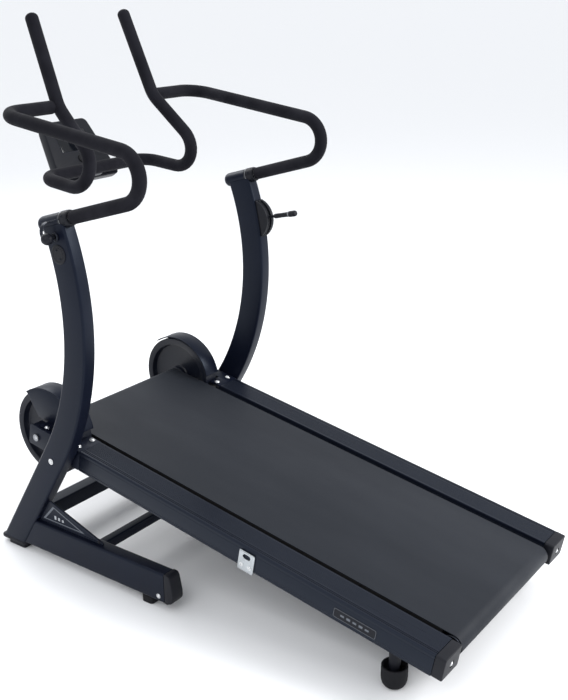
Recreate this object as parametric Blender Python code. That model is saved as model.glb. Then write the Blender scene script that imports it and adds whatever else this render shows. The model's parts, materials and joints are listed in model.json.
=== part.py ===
"""A folding manual treadmill: a sloping belt deck with two flywheels, hung between two curved uprights.

Metres, +Z up, +Y is the way the runner faces, +X is the runner's right. The origin is on the floor, in the
middle of the machine's footprint. The stand is laid out from the fold pivot, and so is the deck.
"""

import math

import bmesh
import bpy
from mathutils import Matrix, Vector

# ---------------------------------------------------------------- sizes across the machine
BELT_WIDTH = 0.430
BELT_SIDE_GAP = 0.015  # belt edge to rail
RAIL_WIDTH = 0.070
SWING_CLEARANCE = 0.008  # rail to upright, so that the deck can fold past it
TUBE_WIDTH = 0.036  # uprights and floor tubes
HORN_X = 0.160  # middle of a horn, where the handle joins it

# ---------------------------------------------------------------- sizes along and up
PIVOT_HEIGHT = 0.2816
DECK_SLOPE = math.radians(10.0)
DECK_REACH = 1.049  # pivot to the back of the rail end caps
RAIL_FRONT = 0.049  # pivot back to the front end of the rails
RAIL_TOP = 0.0325  # above the pivot, square to the deck
RAIL_HEIGHT = 0.053
COVER_THICKNESS = 0.0095
END_CAP_LENGTH = 0.024
CAP_EDGE = 0.002
AXLE_REACH = 0.0995  # pivot forward to the front roller
BELT_TOP = 0.029
FOLD_ANGLE = math.radians(91.2)

LEG_LEAN = math.radians(32.2)
BEND_RADIUS = 0.6327
BEND_START = 0.0195  # above the pivot, along the leg
UPRIGHT_DEPTH = 0.0675
UPRIGHT_TOP = 0.870  # height at which the upright meets its sleeve's axis
SLEEVE_RISE = math.radians(16.4)
SLEEVE_AHEAD = 0.050
SLEEVE_BEHIND = 0.022
COLLAR_LENGTH = 0.028
HANDLE_LOWER = 0.4888  # upright to the handle's virtual rear corner
HANDLE_UPPER = 0.6327  # rear corner to front corner
HANDLE_UPPER_RISE = math.radians(7.3)
HANDLE_BEND = 0.056
HANDLE_FRONT_BEND = 0.055

FLOOR_TUBE_REAR = 0.3474  # pivot back to the plain end of a floor tube
FLOOR_TUBE_HEIGHT = 0.076
PAD_HEIGHT = 0.020
REAR_CAP_LENGTH = 0.0266
REAR_PAD_BACK = 0.2896

# ---------------------------------------------------------------- walls, fits and small sizes
GAP = 0.0003
RUNNING = 0.0003
STEEL_WALL = 0.002
RAIL_WALL = 0.003
CORNER = 0.006
BELT_THICKNESS = 0.002
ROLLER_RADIUS = 0.0222
ROLLER_WALL = 0.0025
AXLE_RADIUS = 0.006
BOARD_THICKNESS = 0.018
BOARD_INSET = 0.002  # board's side in from the belt's edge
FLYWHEEL_RADIUS = 0.110
FLYWHEEL_WIDTH = 0.042
FLYWHEEL_RIM = 0.018
FLYWHEEL_WEB = 0.010
FENDER_CLEARANCE = 0.0035
FENDER_SHEET = 0.0025
BRACKET_PLATE = 0.005
BRACKET_REACH = 0.125
CORE_RADIUS = 0.0127
CORE_WALL = 0.002
FOAM_RADIUS = 0.0155
HORN_DOME = ((0.0055, 0.0143), (0.0095, 0.0110), (0.0116, 0.0065), (0.0122, 0.0025))  # beyond the bar, radius
SLEEVE_RADIUS = 0.018
PIVOT_BOLT_RADIUS = 0.006
CROSSBAR = 0.040
CROSSBAR_HEIGHT = 0.080
REAR_BAR = 0.025
REAR_BAR_BACK = 0.115  # pivot back to the rear bar's middle
GUSSET_PLATE = 0.004
GUSSET_INSET = 0.012  # tube's outer face to the plate
GUSSET_RISE = 0.065
GUSSET_RUN = 0.222
CATCH_BACK = 0.5634
CATCH_UP = 0.0109
CATCH_PLATE = 0.0035
PIN_RADIUS = 0.005
PIN_TRAVEL = 0.0055
PIN_PARKED_TIP = 0.002  # parked pin's end past the upright's inner face
PIN_BALL = 0.0135
BUSH_LENGTH = 0.006
FOOT_BACK = 0.9212  # pivot back to the levelling feet, along the deck
FOOT_X_INSET = 0.035  # rail's outer side to the foot's middle
FOOT_CUP_RADIUS = 0.028
FOOT_CUP_HEIGHT = 0.049
FOOT_BOSS_RADIUS = 0.0125
FOOT_TRAVEL = 0.015
DIAL_HEIGHT = 0.762
DIAL_LENGTH = 0.097
DIAL_DEPTH = 0.030
DIAL_WIDTH = 0.030
LEVER_SLOT = 0.009
LEVER_LENGTH = 0.100
LEVER_REST = math.radians(13.6)
CONSOLE_TOP_WIDTH = 0.148
CONSOLE_BOTTOM_WIDTH = 0.204
CONSOLE_HEIGHT = 0.163
CONSOLE_DEPTH = 0.034
CONSOLE_LEAN = math.radians(32.7)
CONSOLE_AHEAD = 0.033  # horn crossbar's middle to the console's face
CONSOLE_BELOW = 0.0131  # how far the face reaches below the crossbar's middle
CONSOLE_TAPER = 0.010  # back of the case in from its face, all round
BUTTON_RADIUS = 0.011
BUTTON_PROUD = 0.003

# ---------------------------------------------------------------- sizes that follow
RAIL_INNER = BELT_WIDTH / 2 + BELT_SIDE_GAP
RAIL_OUTER = RAIL_INNER + RAIL_WIDTH
UPRIGHT_INNER = RAIL_OUTER + SWING_CLEARANCE
UPRIGHT_X = UPRIGHT_INNER + TUBE_WIDTH / 2
UPRIGHT_OUTER = UPRIGHT_INNER + TUBE_WIDTH
BOLT_HEAD = 0.005
PIN_BALL_X = -(UPRIGHT_OUTER + BUSH_LENGTH + PIN_TRAVEL + PIN_BALL)
CENTRE_X = -(PIN_BALL_X - PIN_BALL + UPRIGHT_OUTER + BOLT_HEAD) / 2
AXLE_UP = BELT_TOP - BELT_THICKNESS - GAP - ROLLER_RADIUS
BELT_WRAP = ROLLER_RADIUS + GAP + BELT_THICKNESS
REAR_AXLE_BACK = DECK_REACH - 0.003 - BELT_WRAP
ROLLER_HALF = BELT_WIDTH / 2 + 0.0043
FLYWHEEL_IN = ROLLER_HALF + GAP
FLYWHEEL_OUT = FLYWHEEL_IN + FLYWHEEL_WIDTH
RAIL_BOTTOM = RAIL_TOP - RAIL_HEIGHT
SIDES = ((-1, "left"), (1, "right"))


def along(angle, length=1.0):
    """A step in the Y-Z plane, with the angle measured from +Y towards +Z."""
    return Vector((0, math.cos(angle), math.sin(angle))) * length


CONSOLE_UP = along(math.pi / 2 - CONSOLE_LEAN)
CONSOLE_OUT = along(math.pi - CONSOLE_LEAN)

# Everything is laid out from the pivot's line, and one empty moves it all to centre the footprint.
LEG_UP = along(math.pi / 2 + LEG_LEAN)
BEND_CENTRE = Vector((0, 0, PIVOT_HEIGHT)) + BEND_START * LEG_UP + along(LEG_LEAN, BEND_RADIUS)


def upright_turn(height):
    """Turn angle of the bend at a height: the leg's lean at the bottom, negative where the top leans ahead."""
    return math.asin((BEND_CENTRE.z - height) / BEND_RADIUS)


TOP_TURN = upright_turn(UPRIGHT_TOP)
SLEEVE_CENTRE = BEND_CENTRE - along(TOP_TURN, BEND_RADIUS)
SLEEVE_BACKWARDS = along(math.pi - SLEEVE_RISE)
HANDLE_REAR = SLEEVE_CENTRE + HANDLE_LOWER * SLEEVE_BACKWARDS
HANDLE_FRONT = HANDLE_REAR + along(HANDLE_UPPER_RISE, HANDLE_UPPER)
HORN_TIP = HANDLE_FRONT + Vector((0, 0.0716, 0.1936))
HORN_CORNER = HANDLE_FRONT + Vector((0, -0.007, 0.0))
HORN_REAR = HANDLE_FRONT + Vector((0, -0.214, -0.1926))
HORN_FRONT = HANDLE_FRONT + Vector((0, 0.0453, -0.167))
CONSOLE_FOOT = HORN_FRONT - CONSOLE_AHEAD * CONSOLE_OUT - CONSOLE_BELOW * CONSOLE_UP
CONSOLE_NOSE = CONSOLE_FOOT + (CONSOLE_HEIGHT - CONSOLE_TAPER) * CONSOLE_UP - CONSOLE_DEPTH * CONSOLE_OUT

REAR_EDGE = -((DECK_REACH - CAP_EDGE) * math.cos(DECK_SLOPE) + RAIL_TOP * math.sin(DECK_SLOPE))
PIVOT_Y = -(REAR_EDGE + CONSOLE_NOSE.y) / 2
PIVOT = Vector((0, 0, PIVOT_HEIGHT))


def at_side(point, x=0.0):
    """A point of the Y-Z plane, moved out to a distance from the middle plane."""
    return Vector((x + point.x, point.y, point.z))


# ---------------------------------------------------------------- materials
def material(name, colour, roughness, metallic=0.0):
    made = bpy.data.materials.new(name)
    made.use_nodes = True
    shader = made.node_tree.nodes["Principled BSDF"]
    shader.inputs["Base Color"].default_value = (*colour, 1.0)
    shader.inputs["Roughness"].default_value = roughness
    shader.inputs["Metallic"].default_value = metallic
    return made


def make_materials():
    return {
        "paint": material("black_powder_coat", (0.018, 0.022, 0.030), 0.38, 0.2),
        "rail": material("black_anodised_rail", (0.022, 0.026, 0.034), 0.34, 0.4),
        "plastic": material("black_plastic", (0.014, 0.015, 0.018), 0.5),
        "rubber": material("black_rubber", (0.012, 0.012, 0.013), 0.8),
        "foam": material("foam_grip", (0.020, 0.019, 0.021), 0.85),
        "belt": material("running_belt", (0.030, 0.033, 0.040), 0.75),
        "board": material("deck_board", (0.10, 0.075, 0.05), 0.7),
        "steel": material("bright_steel", (0.62, 0.63, 0.65), 0.25, 1.0),
        "iron": material("painted_iron", (0.016, 0.019, 0.026), 0.42, 0.2),
        "window": material("smoked_window", (0.012, 0.016, 0.020), 0.12),
        "magnet": material("zinc_plate", (0.45, 0.45, 0.47), 0.4, 1.0),
    }


# ---------------------------------------------------------------- mesh helpers
def add_empty(name, place, turn=(0, 0, 0)):
    """An empty that carries other pieces. The first one carries the whole machine."""
    root = bpy.data.objects.get("machine")
    made = bpy.data.objects.new(name, None)
    bpy.context.scene.collection.objects.link(made)
    made.location = place
    made.rotation_euler = turn
    made.parent = root
    return made


def add_object(name, mesh_edit, look, parent=None, place=(0, 0, 0)):
    """Makes one named object from a function that fills a bmesh, with its faces turned outwards."""
    shape = bmesh.new()
    mesh_edit(shape)
    bmesh.ops.remove_doubles(shape, verts=shape.verts, dist=1e-6)
    bmesh.ops.recalc_face_normals(shape, faces=shape.faces)
    mesh = bpy.data.meshes.new(name)
    shape.to_mesh(mesh)
    shape.free()
    made = bpy.data.objects.new(name, mesh)
    bpy.context.scene.collection.objects.link(made)
    mesh.materials.append(look)
    mesh.shade_smooth()
    mesh.set_sharp_from_angle(angle=math.radians(32))
    made.location = place
    made.parent = parent or bpy.data.objects["machine"]
    return made


def ring_faces(shape, first, second):
    count = len(first)
    for i in range(count):
        j = (i + 1) % count
        shape.faces.new((first[i], first[j], second[j], second[i]))


def loft(shape, rings):
    """A solid through closed rings of points, with flat ends."""
    lines = [[shape.verts.new(point) for point in ring] for ring in rings]
    for first, second in zip(lines, lines[1:]):
        ring_faces(shape, first, second)
    shape.faces.new(lines[0])
    shape.faces.new(lines[-1])


def hollow_loft(shape, outer_rings, inner_rings):
    """A tube with a wall, open at both ends."""
    outer = [[shape.verts.new(point) for point in ring] for ring in outer_rings]
    inner = [[shape.verts.new(point) for point in ring] for ring in inner_rings]
    for lines in (outer, inner):
        for first, second in zip(lines, lines[1:]):
            ring_faces(shape, first, second)
    ring_faces(shape, outer[0], inner[0])
    ring_faces(shape, outer[-1], inner[-1])


def rounded_rectangle(width, height, corner, steps=2):
    """Outline points of a rectangle with round corners, centred on zero."""
    points = []
    for quarter, (sx, sy) in enumerate(((1, 1), (-1, 1), (-1, -1), (1, -1))):
        cx = sx * (width / 2 - corner)
        cy = sy * (height / 2 - corner)
        for step in range(steps + 1):
            angle = math.radians(90 * (quarter + step / steps))
            points.append((cx + corner * math.cos(angle), cy + corner * math.sin(angle)))
    return points


def circle(radius, count):
    return [(radius * math.cos(2 * math.pi * i / count), radius * math.sin(2 * math.pi * i / count))
            for i in range(count)]


def box(shape, low, high):
    made = bmesh.ops.create_cube(shape, size=1.0)
    low = Vector(low)
    high = Vector(high)
    size = high - low
    grow = Matrix.Translation((low + high) / 2) @ Matrix.Diagonal((*size, 1))
    bmesh.ops.transform(shape, matrix=grow, verts=made["verts"])


def side_box(shape, side, x_range, y_range, z_range):
    """A box given by its distances out from the middle plane, on one side of the machine."""
    near, far = sorted((side * x_range[0], side * x_range[1]))
    box(shape, (near, y_range[0], z_range[0]), (far, y_range[1], z_range[1]))


def slab(shape, outline, x_range, side=1):
    """A plate in the Y-Z plane, given by its outline, between two distances from the middle plane."""
    loft(shape, [[Vector((side * x, y, z)) for y, z in outline] for x in x_range])


def turned(shape, profile, count, axis="X", centre=(0, 0, 0)):
    """Turns a closed profile of (radius, position) points about an axis through a centre."""
    rings = []
    for radius, position in profile:
        ring = []
        for a, b in circle(radius, count):
            if axis == "X":
                ring.append(shape.verts.new(Vector(centre) + Vector((position, a, b))))
            else:
                ring.append(shape.verts.new(Vector(centre) + Vector((a, b, position))))
        rings.append(ring)
    for first, second in zip(rings, rings[1:] + rings[:1]):
        ring_faces(shape, first, second)


def rod(shape, profile, count, axis="X", centre=(0, 0, 0)):
    """Turns an open profile whose two ends are closed flat: a shaft, a bolt or a knob."""
    rings = []
    for radius, position in profile:
        if axis == "X":
            rings.append([Vector(centre) + Vector((position, a, b)) for a, b in circle(radius, count)])
        else:
            rings.append([Vector(centre) + Vector((a, b, position)) for a, b in circle(radius, count)])
    loft(shape, rings)


def rounded_path(corners, bends, steps):
    """A line through corner points, with each inner corner replaced by an arc of its bend radius."""
    path = [Vector(corners[0])]
    for before, corner, after, radius, count in zip(corners, corners[1:], corners[2:], bends, steps):
        back = (Vector(before) - Vector(corner)).normalized()
        ahead = (Vector(after) - Vector(corner)).normalized()
        half = back.angle(ahead) / 2
        middle = Vector(corner) + (back + ahead).normalized() * (radius / math.sin(half))
        start = Vector(corner) + back * (radius / math.tan(half)) - middle
        turn = math.pi - 2 * half
        normal = back.cross(ahead).normalized()
        for i in range(count + 1):
            path.append(middle + Matrix.Rotation(-turn * i / count, 3, normal) @ start)
    path.append(Vector(corners[-1]))
    return path


def swept_rings(path, radius, count):
    """Round sections along a path, turned as little as possible from one to the next."""
    rings = []
    across = Vector((1, 0, 0))
    for i, point in enumerate(path):
        ahead = (path[min(i + 1, len(path) - 1)] - path[max(i - 1, 0)]).normalized()
        if i == 0 and abs(ahead.dot(across)) > 0.9:
            across = Vector((0, 1, 0))
        across = (across - ahead * ahead.dot(across)).normalized()
        other = ahead.cross(across)
        rings.append([point + a * across + b * other for a, b in circle(radius, count)])
    return rings


def boolean(target, name, mesh_edit, operation="DIFFERENCE", parent=None, place=(0, 0, 0)):
    """Cuts a shape from an object, or joins one to it, with a hidden helper object."""
    helper = add_object(name, mesh_edit, target.data.materials[0], parent, place)
    helper.hide_render = True
    helper.display_type = "WIRE"
    step = target.modifiers.new(name, "BOOLEAN")
    step.operation = operation
    step.solver = "EXACT"
    step.object = helper
    return helper


# ---------------------------------------------------------------- stand
def upright_rings(side, width, depth, bottom, end_turn):
    """Sections of an upright: cut level at the bottom, straight up the leg, then round the bend."""
    outline = rounded_rectangle(width, depth, CORNER if width > TUBE_WIDTH - GAP else CORNER - STEEL_WALL)
    foot = Vector((0, 0, PIVOT_HEIGHT))
    rings = []
    outward = along(LEG_LEAN)
    level = []
    for a, b in outline:
        point = foot + Vector((a, 0, 0)) + b * outward
        point += LEG_UP * ((bottom - point.z) / LEG_UP.z)
        level.append(at_side(point, side * UPRIGHT_X))
    rings.append(level)
    steps = 12
    for i in range(steps + 1):
        turn = LEG_LEAN + (end_turn - LEG_LEAN) * i / steps
        centre = BEND_CENTRE - along(turn, BEND_RADIUS)
        rings.append([at_side(centre + Vector((a, 0, 0)) + b * along(turn), side * UPRIGHT_X)
                      for a, b in outline])
    return rings


def rear_face_y(height):
    """Rear face of the straight leg at a height, with the pivot at y = 0."""
    return -(height - PIVOT_HEIGHT) * math.tan(LEG_LEAN) - UPRIGHT_DEPTH / 2 / math.cos(LEG_LEAN)


def rear_face_point(height):
    """Rear face of the curved part at a height, with its outward direction."""
    turn = upright_turn(height)
    return BEND_CENTRE - along(turn, BEND_RADIUS + UPRIGHT_DEPTH / 2), -along(turn)


def pin_place():
    """The latch pin's centre in the Y-Z plane: where the catch's hole arrives when the deck is folded."""
    catch = Vector((0, -CATCH_BACK, CATCH_UP))
    return PIVOT + Matrix.Rotation(DECK_SLOPE - FOLD_ANGLE, 3, "X") @ catch


def make_upright(side, name, looks):
    outer = upright_rings(side, TUBE_WIDTH, UPRIGHT_DEPTH, PAD_HEIGHT, TOP_TURN)
    inner = upright_rings(side, TUBE_WIDTH - 2 * STEEL_WALL, UPRIGHT_DEPTH - 2 * STEEL_WALL, PAD_HEIGHT, TOP_TURN)
    upright = add_object(f"upright_{name}", lambda shape: hollow_loft(shape, outer, inner), looks["paint"])
    frame = bpy.data.objects[f"sleeve_frame_{name}"]
    reach = UPRIGHT_DEPTH

    def saddle(shape):
        rod(shape, [(SLEEVE_RADIUS + 0.0013, -reach), (SLEEVE_RADIUS + 0.0013, reach)], 32, "Z")

    boolean(upright, f"saddle_cut_{name}", saddle, parent=frame)
    hole = PIVOT_BOLT_RADIUS + RUNNING

    def bolt_hole(shape):
        rod(shape, [(hole, -TUBE_WIDTH), (hole, TUBE_WIDTH)], 20, "X")

    boolean(upright, f"bolt_hole_{name}", bolt_hole, place=(side * UPRIGHT_X, PIVOT.y, PIVOT.z))
    if side < 0:
        def pin_hole(shape):
            rod(shape, [(PIN_RADIUS + RUNNING, -TUBE_WIDTH), (PIN_RADIUS + RUNNING, TUBE_WIDTH)], 20, "X")

        centre = pin_place()
        boolean(upright, "pin_hole", pin_hole, place=(side * UPRIGHT_X, centre.y, centre.z))


def make_floor_tube(side, name, looks):
    def rings(width, height, corner):
        front = []
        back = []
        for a, b in rounded_rectangle(width, height, corner):
            z = PAD_HEIGHT + FLOOR_TUBE_HEIGHT / 2 + b
            front.append(at_side(Vector((a, rear_face_y(z) - GAP / math.cos(LEG_LEAN), z)), side * UPRIGHT_X))
            back.append(at_side(Vector((a, -FLOOR_TUBE_REAR, z)), side * UPRIGHT_X))
        return [front, back]

    outer = rings(TUBE_WIDTH, FLOOR_TUBE_HEIGHT, CORNER)
    inner = rings(TUBE_WIDTH - 2 * STEEL_WALL, FLOOR_TUBE_HEIGHT - 2 * STEEL_WALL, CORNER - STEEL_WALL)
    add_object(f"floor_tube_{name}", lambda shape: hollow_loft(shape, outer, inner), looks["paint"])


def make_rear_cap(side, name, looks):
    """A moulded cap with a sloping back and a bevelled heel, closing the rear of a floor tube."""
    low = PAD_HEIGHT
    high = PAD_HEIGHT + FLOOR_TUBE_HEIGHT
    front = -FLOOR_TUBE_REAR - GAP
    shape_of = ((0.0, 0.0), (0.27, 0.0), (0.72, 0.08), (1.0, 0.24), (0.95, 0.42), (0.68, 0.89), (0.50, 0.97),
                (0.30, 1.0), (0.0, 1.0))
    outline = [(front - REAR_CAP_LENGTH * back, low + (high - low) * up) for back, up in shape_of]
    middle = (low + high) / 2
    rings = []
    for across, shrink in ((-1.0, 0.95), (-0.86, 1.0), (0.86, 1.0), (1.0, 0.95)):
        x = side * UPRIGHT_X + across * TUBE_WIDTH / 2
        rings.append([Vector((x, front + (y - front) * shrink, middle + (z - middle) * shrink)) for y, z in outline])
    add_object(f"rear_end_cap_{name}", lambda shape: loft(shape, rings), looks["plastic"])


def make_front_cap(side, name, looks):
    """The foot moulding under an upright: a wide flange that closes the tube, with a narrower sole below."""
    cut = UPRIGHT_DEPTH / math.cos(LEG_LEAN)
    middle = math.tan(LEG_LEAN) * (PIVOT_HEIGHT - PAD_HEIGHT)
    back = middle - cut / 2
    front = middle + cut / 2 + 0.0105
    flange = 0.0095
    sole = (middle - 0.034, middle + 0.026)
    levels = ((0.0, sole[0] + 0.002, sole[1] - 0.002, 0.026, 0.005), (0.003, sole[0], sole[1], 0.030, 0.006),
              (PAD_HEIGHT - flange, sole[0], sole[1], 0.030, 0.006),
              (PAD_HEIGHT - flange, back + 0.002, front - 0.004, TUBE_WIDTH - 0.004, 0.010),
              (PAD_HEIGHT - flange + 0.003, back, front, TUBE_WIDTH, 0.011),
              (PAD_HEIGHT - GAP, back, front, TUBE_WIDTH, 0.011))
    rings = []
    for z, rear, nose, width, corner in levels:
        outline = rounded_rectangle(width, nose - rear, corner)
        rings.append([Vector((side * UPRIGHT_X + a, (rear + nose) / 2 + b, z)) for a, b in outline])
    add_object(f"front_foot_cap_{name}", lambda shape: loft(shape, rings), looks["rubber"])


def make_rear_pad(side, name, looks):
    back = -REAR_PAD_BACK
    outline = rounded_rectangle(TUBE_WIDTH - 0.006, 0.034, 0.005)
    rings = []
    for z, grow in ((0.0, 0.92), (0.003, 1.0), (PAD_HEIGHT - GAP, 1.0)):
        rings.append([Vector((side * UPRIGHT_X + a * grow, back + b * grow, z)) for a, b in outline])
    add_object(f"rear_pad_{name}", lambda shape: loft(shape, rings), looks["rubber"])


def make_gusset(side, name, looks):
    """A thin triangular plate in the corner between the leg and the floor tube."""
    low = PAD_HEIGHT + FLOOR_TUBE_HEIGHT + GAP
    off = GAP / math.cos(LEG_LEAN)
    foot = rear_face_y(low) - off
    top = rear_face_y(low + GUSSET_RISE) - off
    outline = [(foot, low), (top, low + GUSSET_RISE), (top - 0.008, low + GUSSET_RISE),
               (foot - GUSSET_RUN, low + 0.007), (foot - GUSSET_RUN, low)]
    reach = (UPRIGHT_OUTER - GUSSET_INSET - GUSSET_PLATE, UPRIGHT_OUTER - GUSSET_INSET)
    add_object(f"gusset_{name}", lambda shape: slab(shape, outline, reach, side), looks["paint"])


def make_crossbars(looks):
    half = UPRIGHT_INNER - GAP
    centres = {
        "front_crossbar": (CROSSBAR, (PIVOT_HEIGHT - CROSSBAR_HEIGHT) * math.tan(LEG_LEAN), CROSSBAR_HEIGHT),
        "rear_crossbar": (REAR_BAR, -REAR_BAR_BACK, PAD_HEIGHT + FLOOR_TUBE_HEIGHT - 0.008 - REAR_BAR / 2),
    }
    for name, (size, y, z) in centres.items():
        wall = 2 * STEEL_WALL
        outer = [[Vector((x, y + a, z + b)) for a, b in rounded_rectangle(size, size, 0.004)]
                 for x in (-half, half)]
        inner = [[Vector((x, y + a, z + b)) for a, b in rounded_rectangle(size - wall, size - wall, 0.002)]
                 for x in (-half, half)]
        add_object(name, lambda shape, o=outer, i=inner: hollow_loft(shape, o, i), looks["paint"])


def make_sleeve(name, looks):
    """The tube welded on top of an upright, closed at the front, and the collar that plugs its back."""
    frame = bpy.data.objects[f"sleeve_frame_{name}"]
    bore = SLEEVE_RADIUS - STEEL_WALL
    cup = [(SLEEVE_RADIUS - 0.004, -SLEEVE_AHEAD), (SLEEVE_RADIUS, -SLEEVE_AHEAD + 0.004),
           (SLEEVE_RADIUS, SLEEVE_BEHIND), (bore, SLEEVE_BEHIND), (bore, -SLEEVE_AHEAD + 0.004)]
    add_object(f"sleeve_{name}", lambda shape: rod(shape, cup, 24, "Z"), looks["paint"], frame)
    inside = CORE_RADIUS + RUNNING
    plug = bore - RUNNING
    collar = [(inside, SLEEVE_BEHIND + GAP + COLLAR_LENGTH), (SLEEVE_RADIUS, SLEEVE_BEHIND + GAP + COLLAR_LENGTH),
              (SLEEVE_RADIUS + 0.0008, SLEEVE_BEHIND + 0.018), (SLEEVE_RADIUS + 0.0008, SLEEVE_BEHIND + GAP),
              (plug, SLEEVE_BEHIND + GAP), (plug, -0.010), (inside, -0.010)]
    add_object(f"collar_{name}", lambda shape: turned(shape, collar, 24, "Z"), looks["plastic"], frame)


def handle_path(side, start):
    """Middle line of a side handle from a distance behind the upright, round to the horn."""
    x = side * UPRIGHT_X
    corners = [at_side(SLEEVE_CENTRE + start * SLEEVE_BACKWARDS, x), at_side(HANDLE_REAR, x),
               at_side(HANDLE_FRONT, x), at_side(HANDLE_FRONT, side * HORN_X)]
    return rounded_path(corners, (HANDLE_BEND, HANDLE_FRONT_BEND), (9, 5))


def make_handle(side, name, looks):
    core = handle_path(side, -SLEEVE_AHEAD + 0.006)
    core[-1].x = side * (HORN_X + CORE_RADIUS + 0.001)
    core_outer = swept_rings(core, CORE_RADIUS - GAP, 8)
    core_inner = swept_rings(core, CORE_RADIUS - CORE_WALL, 8)
    add_object(f"handlebar_{name}", lambda shape: hollow_loft(shape, core_outer, core_inner), looks["steel"])
    foam = handle_path(side, SLEEVE_BEHIND + COLLAR_LENGTH + 2 * GAP)
    foam[-1].x = side * (HORN_X + FOAM_RADIUS + 0.001)
    outer = swept_rings(foam, FOAM_RADIUS, 12)
    inner = swept_rings(foam, CORE_RADIUS + GAP, 12)
    add_object(f"handle_grip_{name}", lambda shape: hollow_loft(shape, outer, inner), looks["foam"])


def horn_path():
    """One bent bar: horn, rear bend, forward run, crossbar, and the same again on the other side."""
    half = [(0.150, HORN_TIP), (HORN_X, HORN_CORNER), (0.187, HORN_REAR), (0.178, HORN_FRONT)]
    left = [at_side(point, -x) for x, point in half]
    right = [at_side(point, x) for x, point in reversed(half)]
    bends = (0.080, 0.0538, 0.042)
    steps = (2, 8, 4)
    return rounded_path(left + right, bends + bends[::-1], steps + steps[::-1])


def make_horns(looks):
    path = horn_path()
    core = [path[0].lerp(path[1], 0.02)] + path[1:-1] + [path[-1].lerp(path[-2], 0.02)]
    core_outer = swept_rings(core, CORE_RADIUS - GAP, 8)
    core_inner = swept_rings(core, CORE_RADIUS - CORE_WALL, 8)
    add_object("horn_bar", lambda shape: hollow_loft(shape, core_outer, core_inner), looks["steel"])
    reach = [step for step, radius in HORN_DOME]
    first = (path[0] - path[1]).normalized()
    last = (path[-1] - path[-2]).normalized()
    line = [path[0] + step * first for step in reversed(reach)] + path + [path[-1] + step * last for step in reach]
    shrunk = [radius / FOAM_RADIUS for step, radius in HORN_DOME]
    shares = shrunk[::-1] + [1.0] * len(path) + shrunk
    rings = swept_rings(line, FOAM_RADIUS, 12)
    rings = [[centre.lerp(point, share) for point in ring] for centre, share, ring in zip(line, shares, rings)]
    inner = swept_rings(path, CORE_RADIUS + GAP, 12)
    grip = add_object("horn_grip", lambda shape: hollow_loft(shape, rings, inner), looks["foam"])
    centre = at_side(HANDLE_FRONT)
    for side, name in SIDES:
        def hole(shape):
            rod(shape, [(CORE_RADIUS + 2 * GAP, 0.0), (CORE_RADIUS + 2 * GAP, 0.030)], 20, "X")

        cut = boolean(grip, f"horn_hole_{name}", hole, place=(side * HORN_X, centre.y, centre.z))
        if side < 0:
            cut.rotation_euler = (0, 0, math.pi)


def make_console(looks):
    """A wedge-shaped case that leans away from the runner, with a window, one button and a saddle bracket."""
    frame = add_empty("console_frame", CONSOLE_FOOT, (math.pi / 2 - CONSOLE_LEAN, 0, 0))

    def outline(inset, depth):
        top = CONSOLE_TOP_WIDTH / 2 - inset
        bottom = CONSOLE_BOTTOM_WIDTH / 2 - inset
        corner = 0.012
        points = []
        corners = ((bottom, inset, -1, 1), (top, CONSOLE_HEIGHT - inset, -1, -1),
                   (-top, CONSOLE_HEIGHT - inset, 1, -1), (-bottom, inset, 1, 1))
        for index, (x, y, sx, sy) in enumerate(corners):
            for step in range(4):
                angle = math.radians(-90 + 90 * (index + step / 3))
                points.append(Vector((x + sx * corner + corner * math.cos(angle),
                                      y + sy * corner + corner * math.sin(angle), depth)))
        return points

    rings = [outline(0.003, 0.0), outline(0.0, -0.003), outline(0.0, -0.020), outline(CONSOLE_TAPER, -CONSOLE_DEPTH)]
    case = add_object("console_case", lambda shape: loft(shape, rings), looks["plastic"], frame)
    window_low = (-0.052, 0.078, -0.0025)
    window_high = (0.052, 0.136, 0.0)
    gap = Vector((GAP, GAP, GAP))
    boolean(case, "window_pocket", lambda shape: box(shape, Vector(window_low) - gap, Vector(window_high) + Vector((GAP, GAP, 0.01))),
            parent=frame)
    add_object("console_window", lambda shape: box(shape, window_low, window_high), looks["window"], frame)
    centre = (0, 0.055, 0)

    def well(shape):
        rod(shape, [(BUTTON_RADIUS + 0.0005, -0.0075), (BUTTON_RADIUS + 0.0005, 0.01)], 28, "Z", centre)

    boolean(case, "button_well", well, parent=frame)

    def button(shape):
        rod(shape, [(BUTTON_RADIUS, -0.005), (BUTTON_RADIUS, BUTTON_PROUD - 0.001),
                    (BUTTON_RADIUS - 0.001, BUTTON_PROUD)], 28, "Z")

    add_object("mode_button", button, looks["rubber"], frame, centre)
    near = GAP
    far = CONSOLE_AHEAD - FOAM_RADIUS - GAP
    add_object("console_bracket", lambda shape: box(shape, (-0.030, 0.002, near), (0.030, 0.024, far)),
               looks["paint"], frame)


def make_latch(looks):
    """The bush on the left upright and the ball-headed pin that slides in it."""
    centre = pin_place()
    out = -UPRIGHT_OUTER
    bore = PIN_RADIUS + RUNNING
    end = out - BUSH_LENGTH
    bush = [(bore, out - GAP), (0.010, out - GAP), (0.010, end + 0.003), (0.008, end), (bore, end)]
    add_object("latch_bush", lambda shape: turned(shape, bush, 20, "X"), looks["steel"],
               place=(0, centre.y, centre.z))
    profile = [(PIN_RADIUS, -(UPRIGHT_INNER - PIN_PARKED_TIP)), (PIN_RADIUS, PIN_BALL_X + PIN_BALL * 0.92)]
    for step in range(1, 9):
        angle = math.radians(22 + step * 18)
        profile.append((PIN_BALL * math.sin(angle), PIN_BALL_X + PIN_BALL * math.cos(angle)))
    add_object("latch_pin", lambda shape: rod(shape, profile, 20, "X"), looks["plastic"],
               place=(0, centre.y, centre.z))


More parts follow.
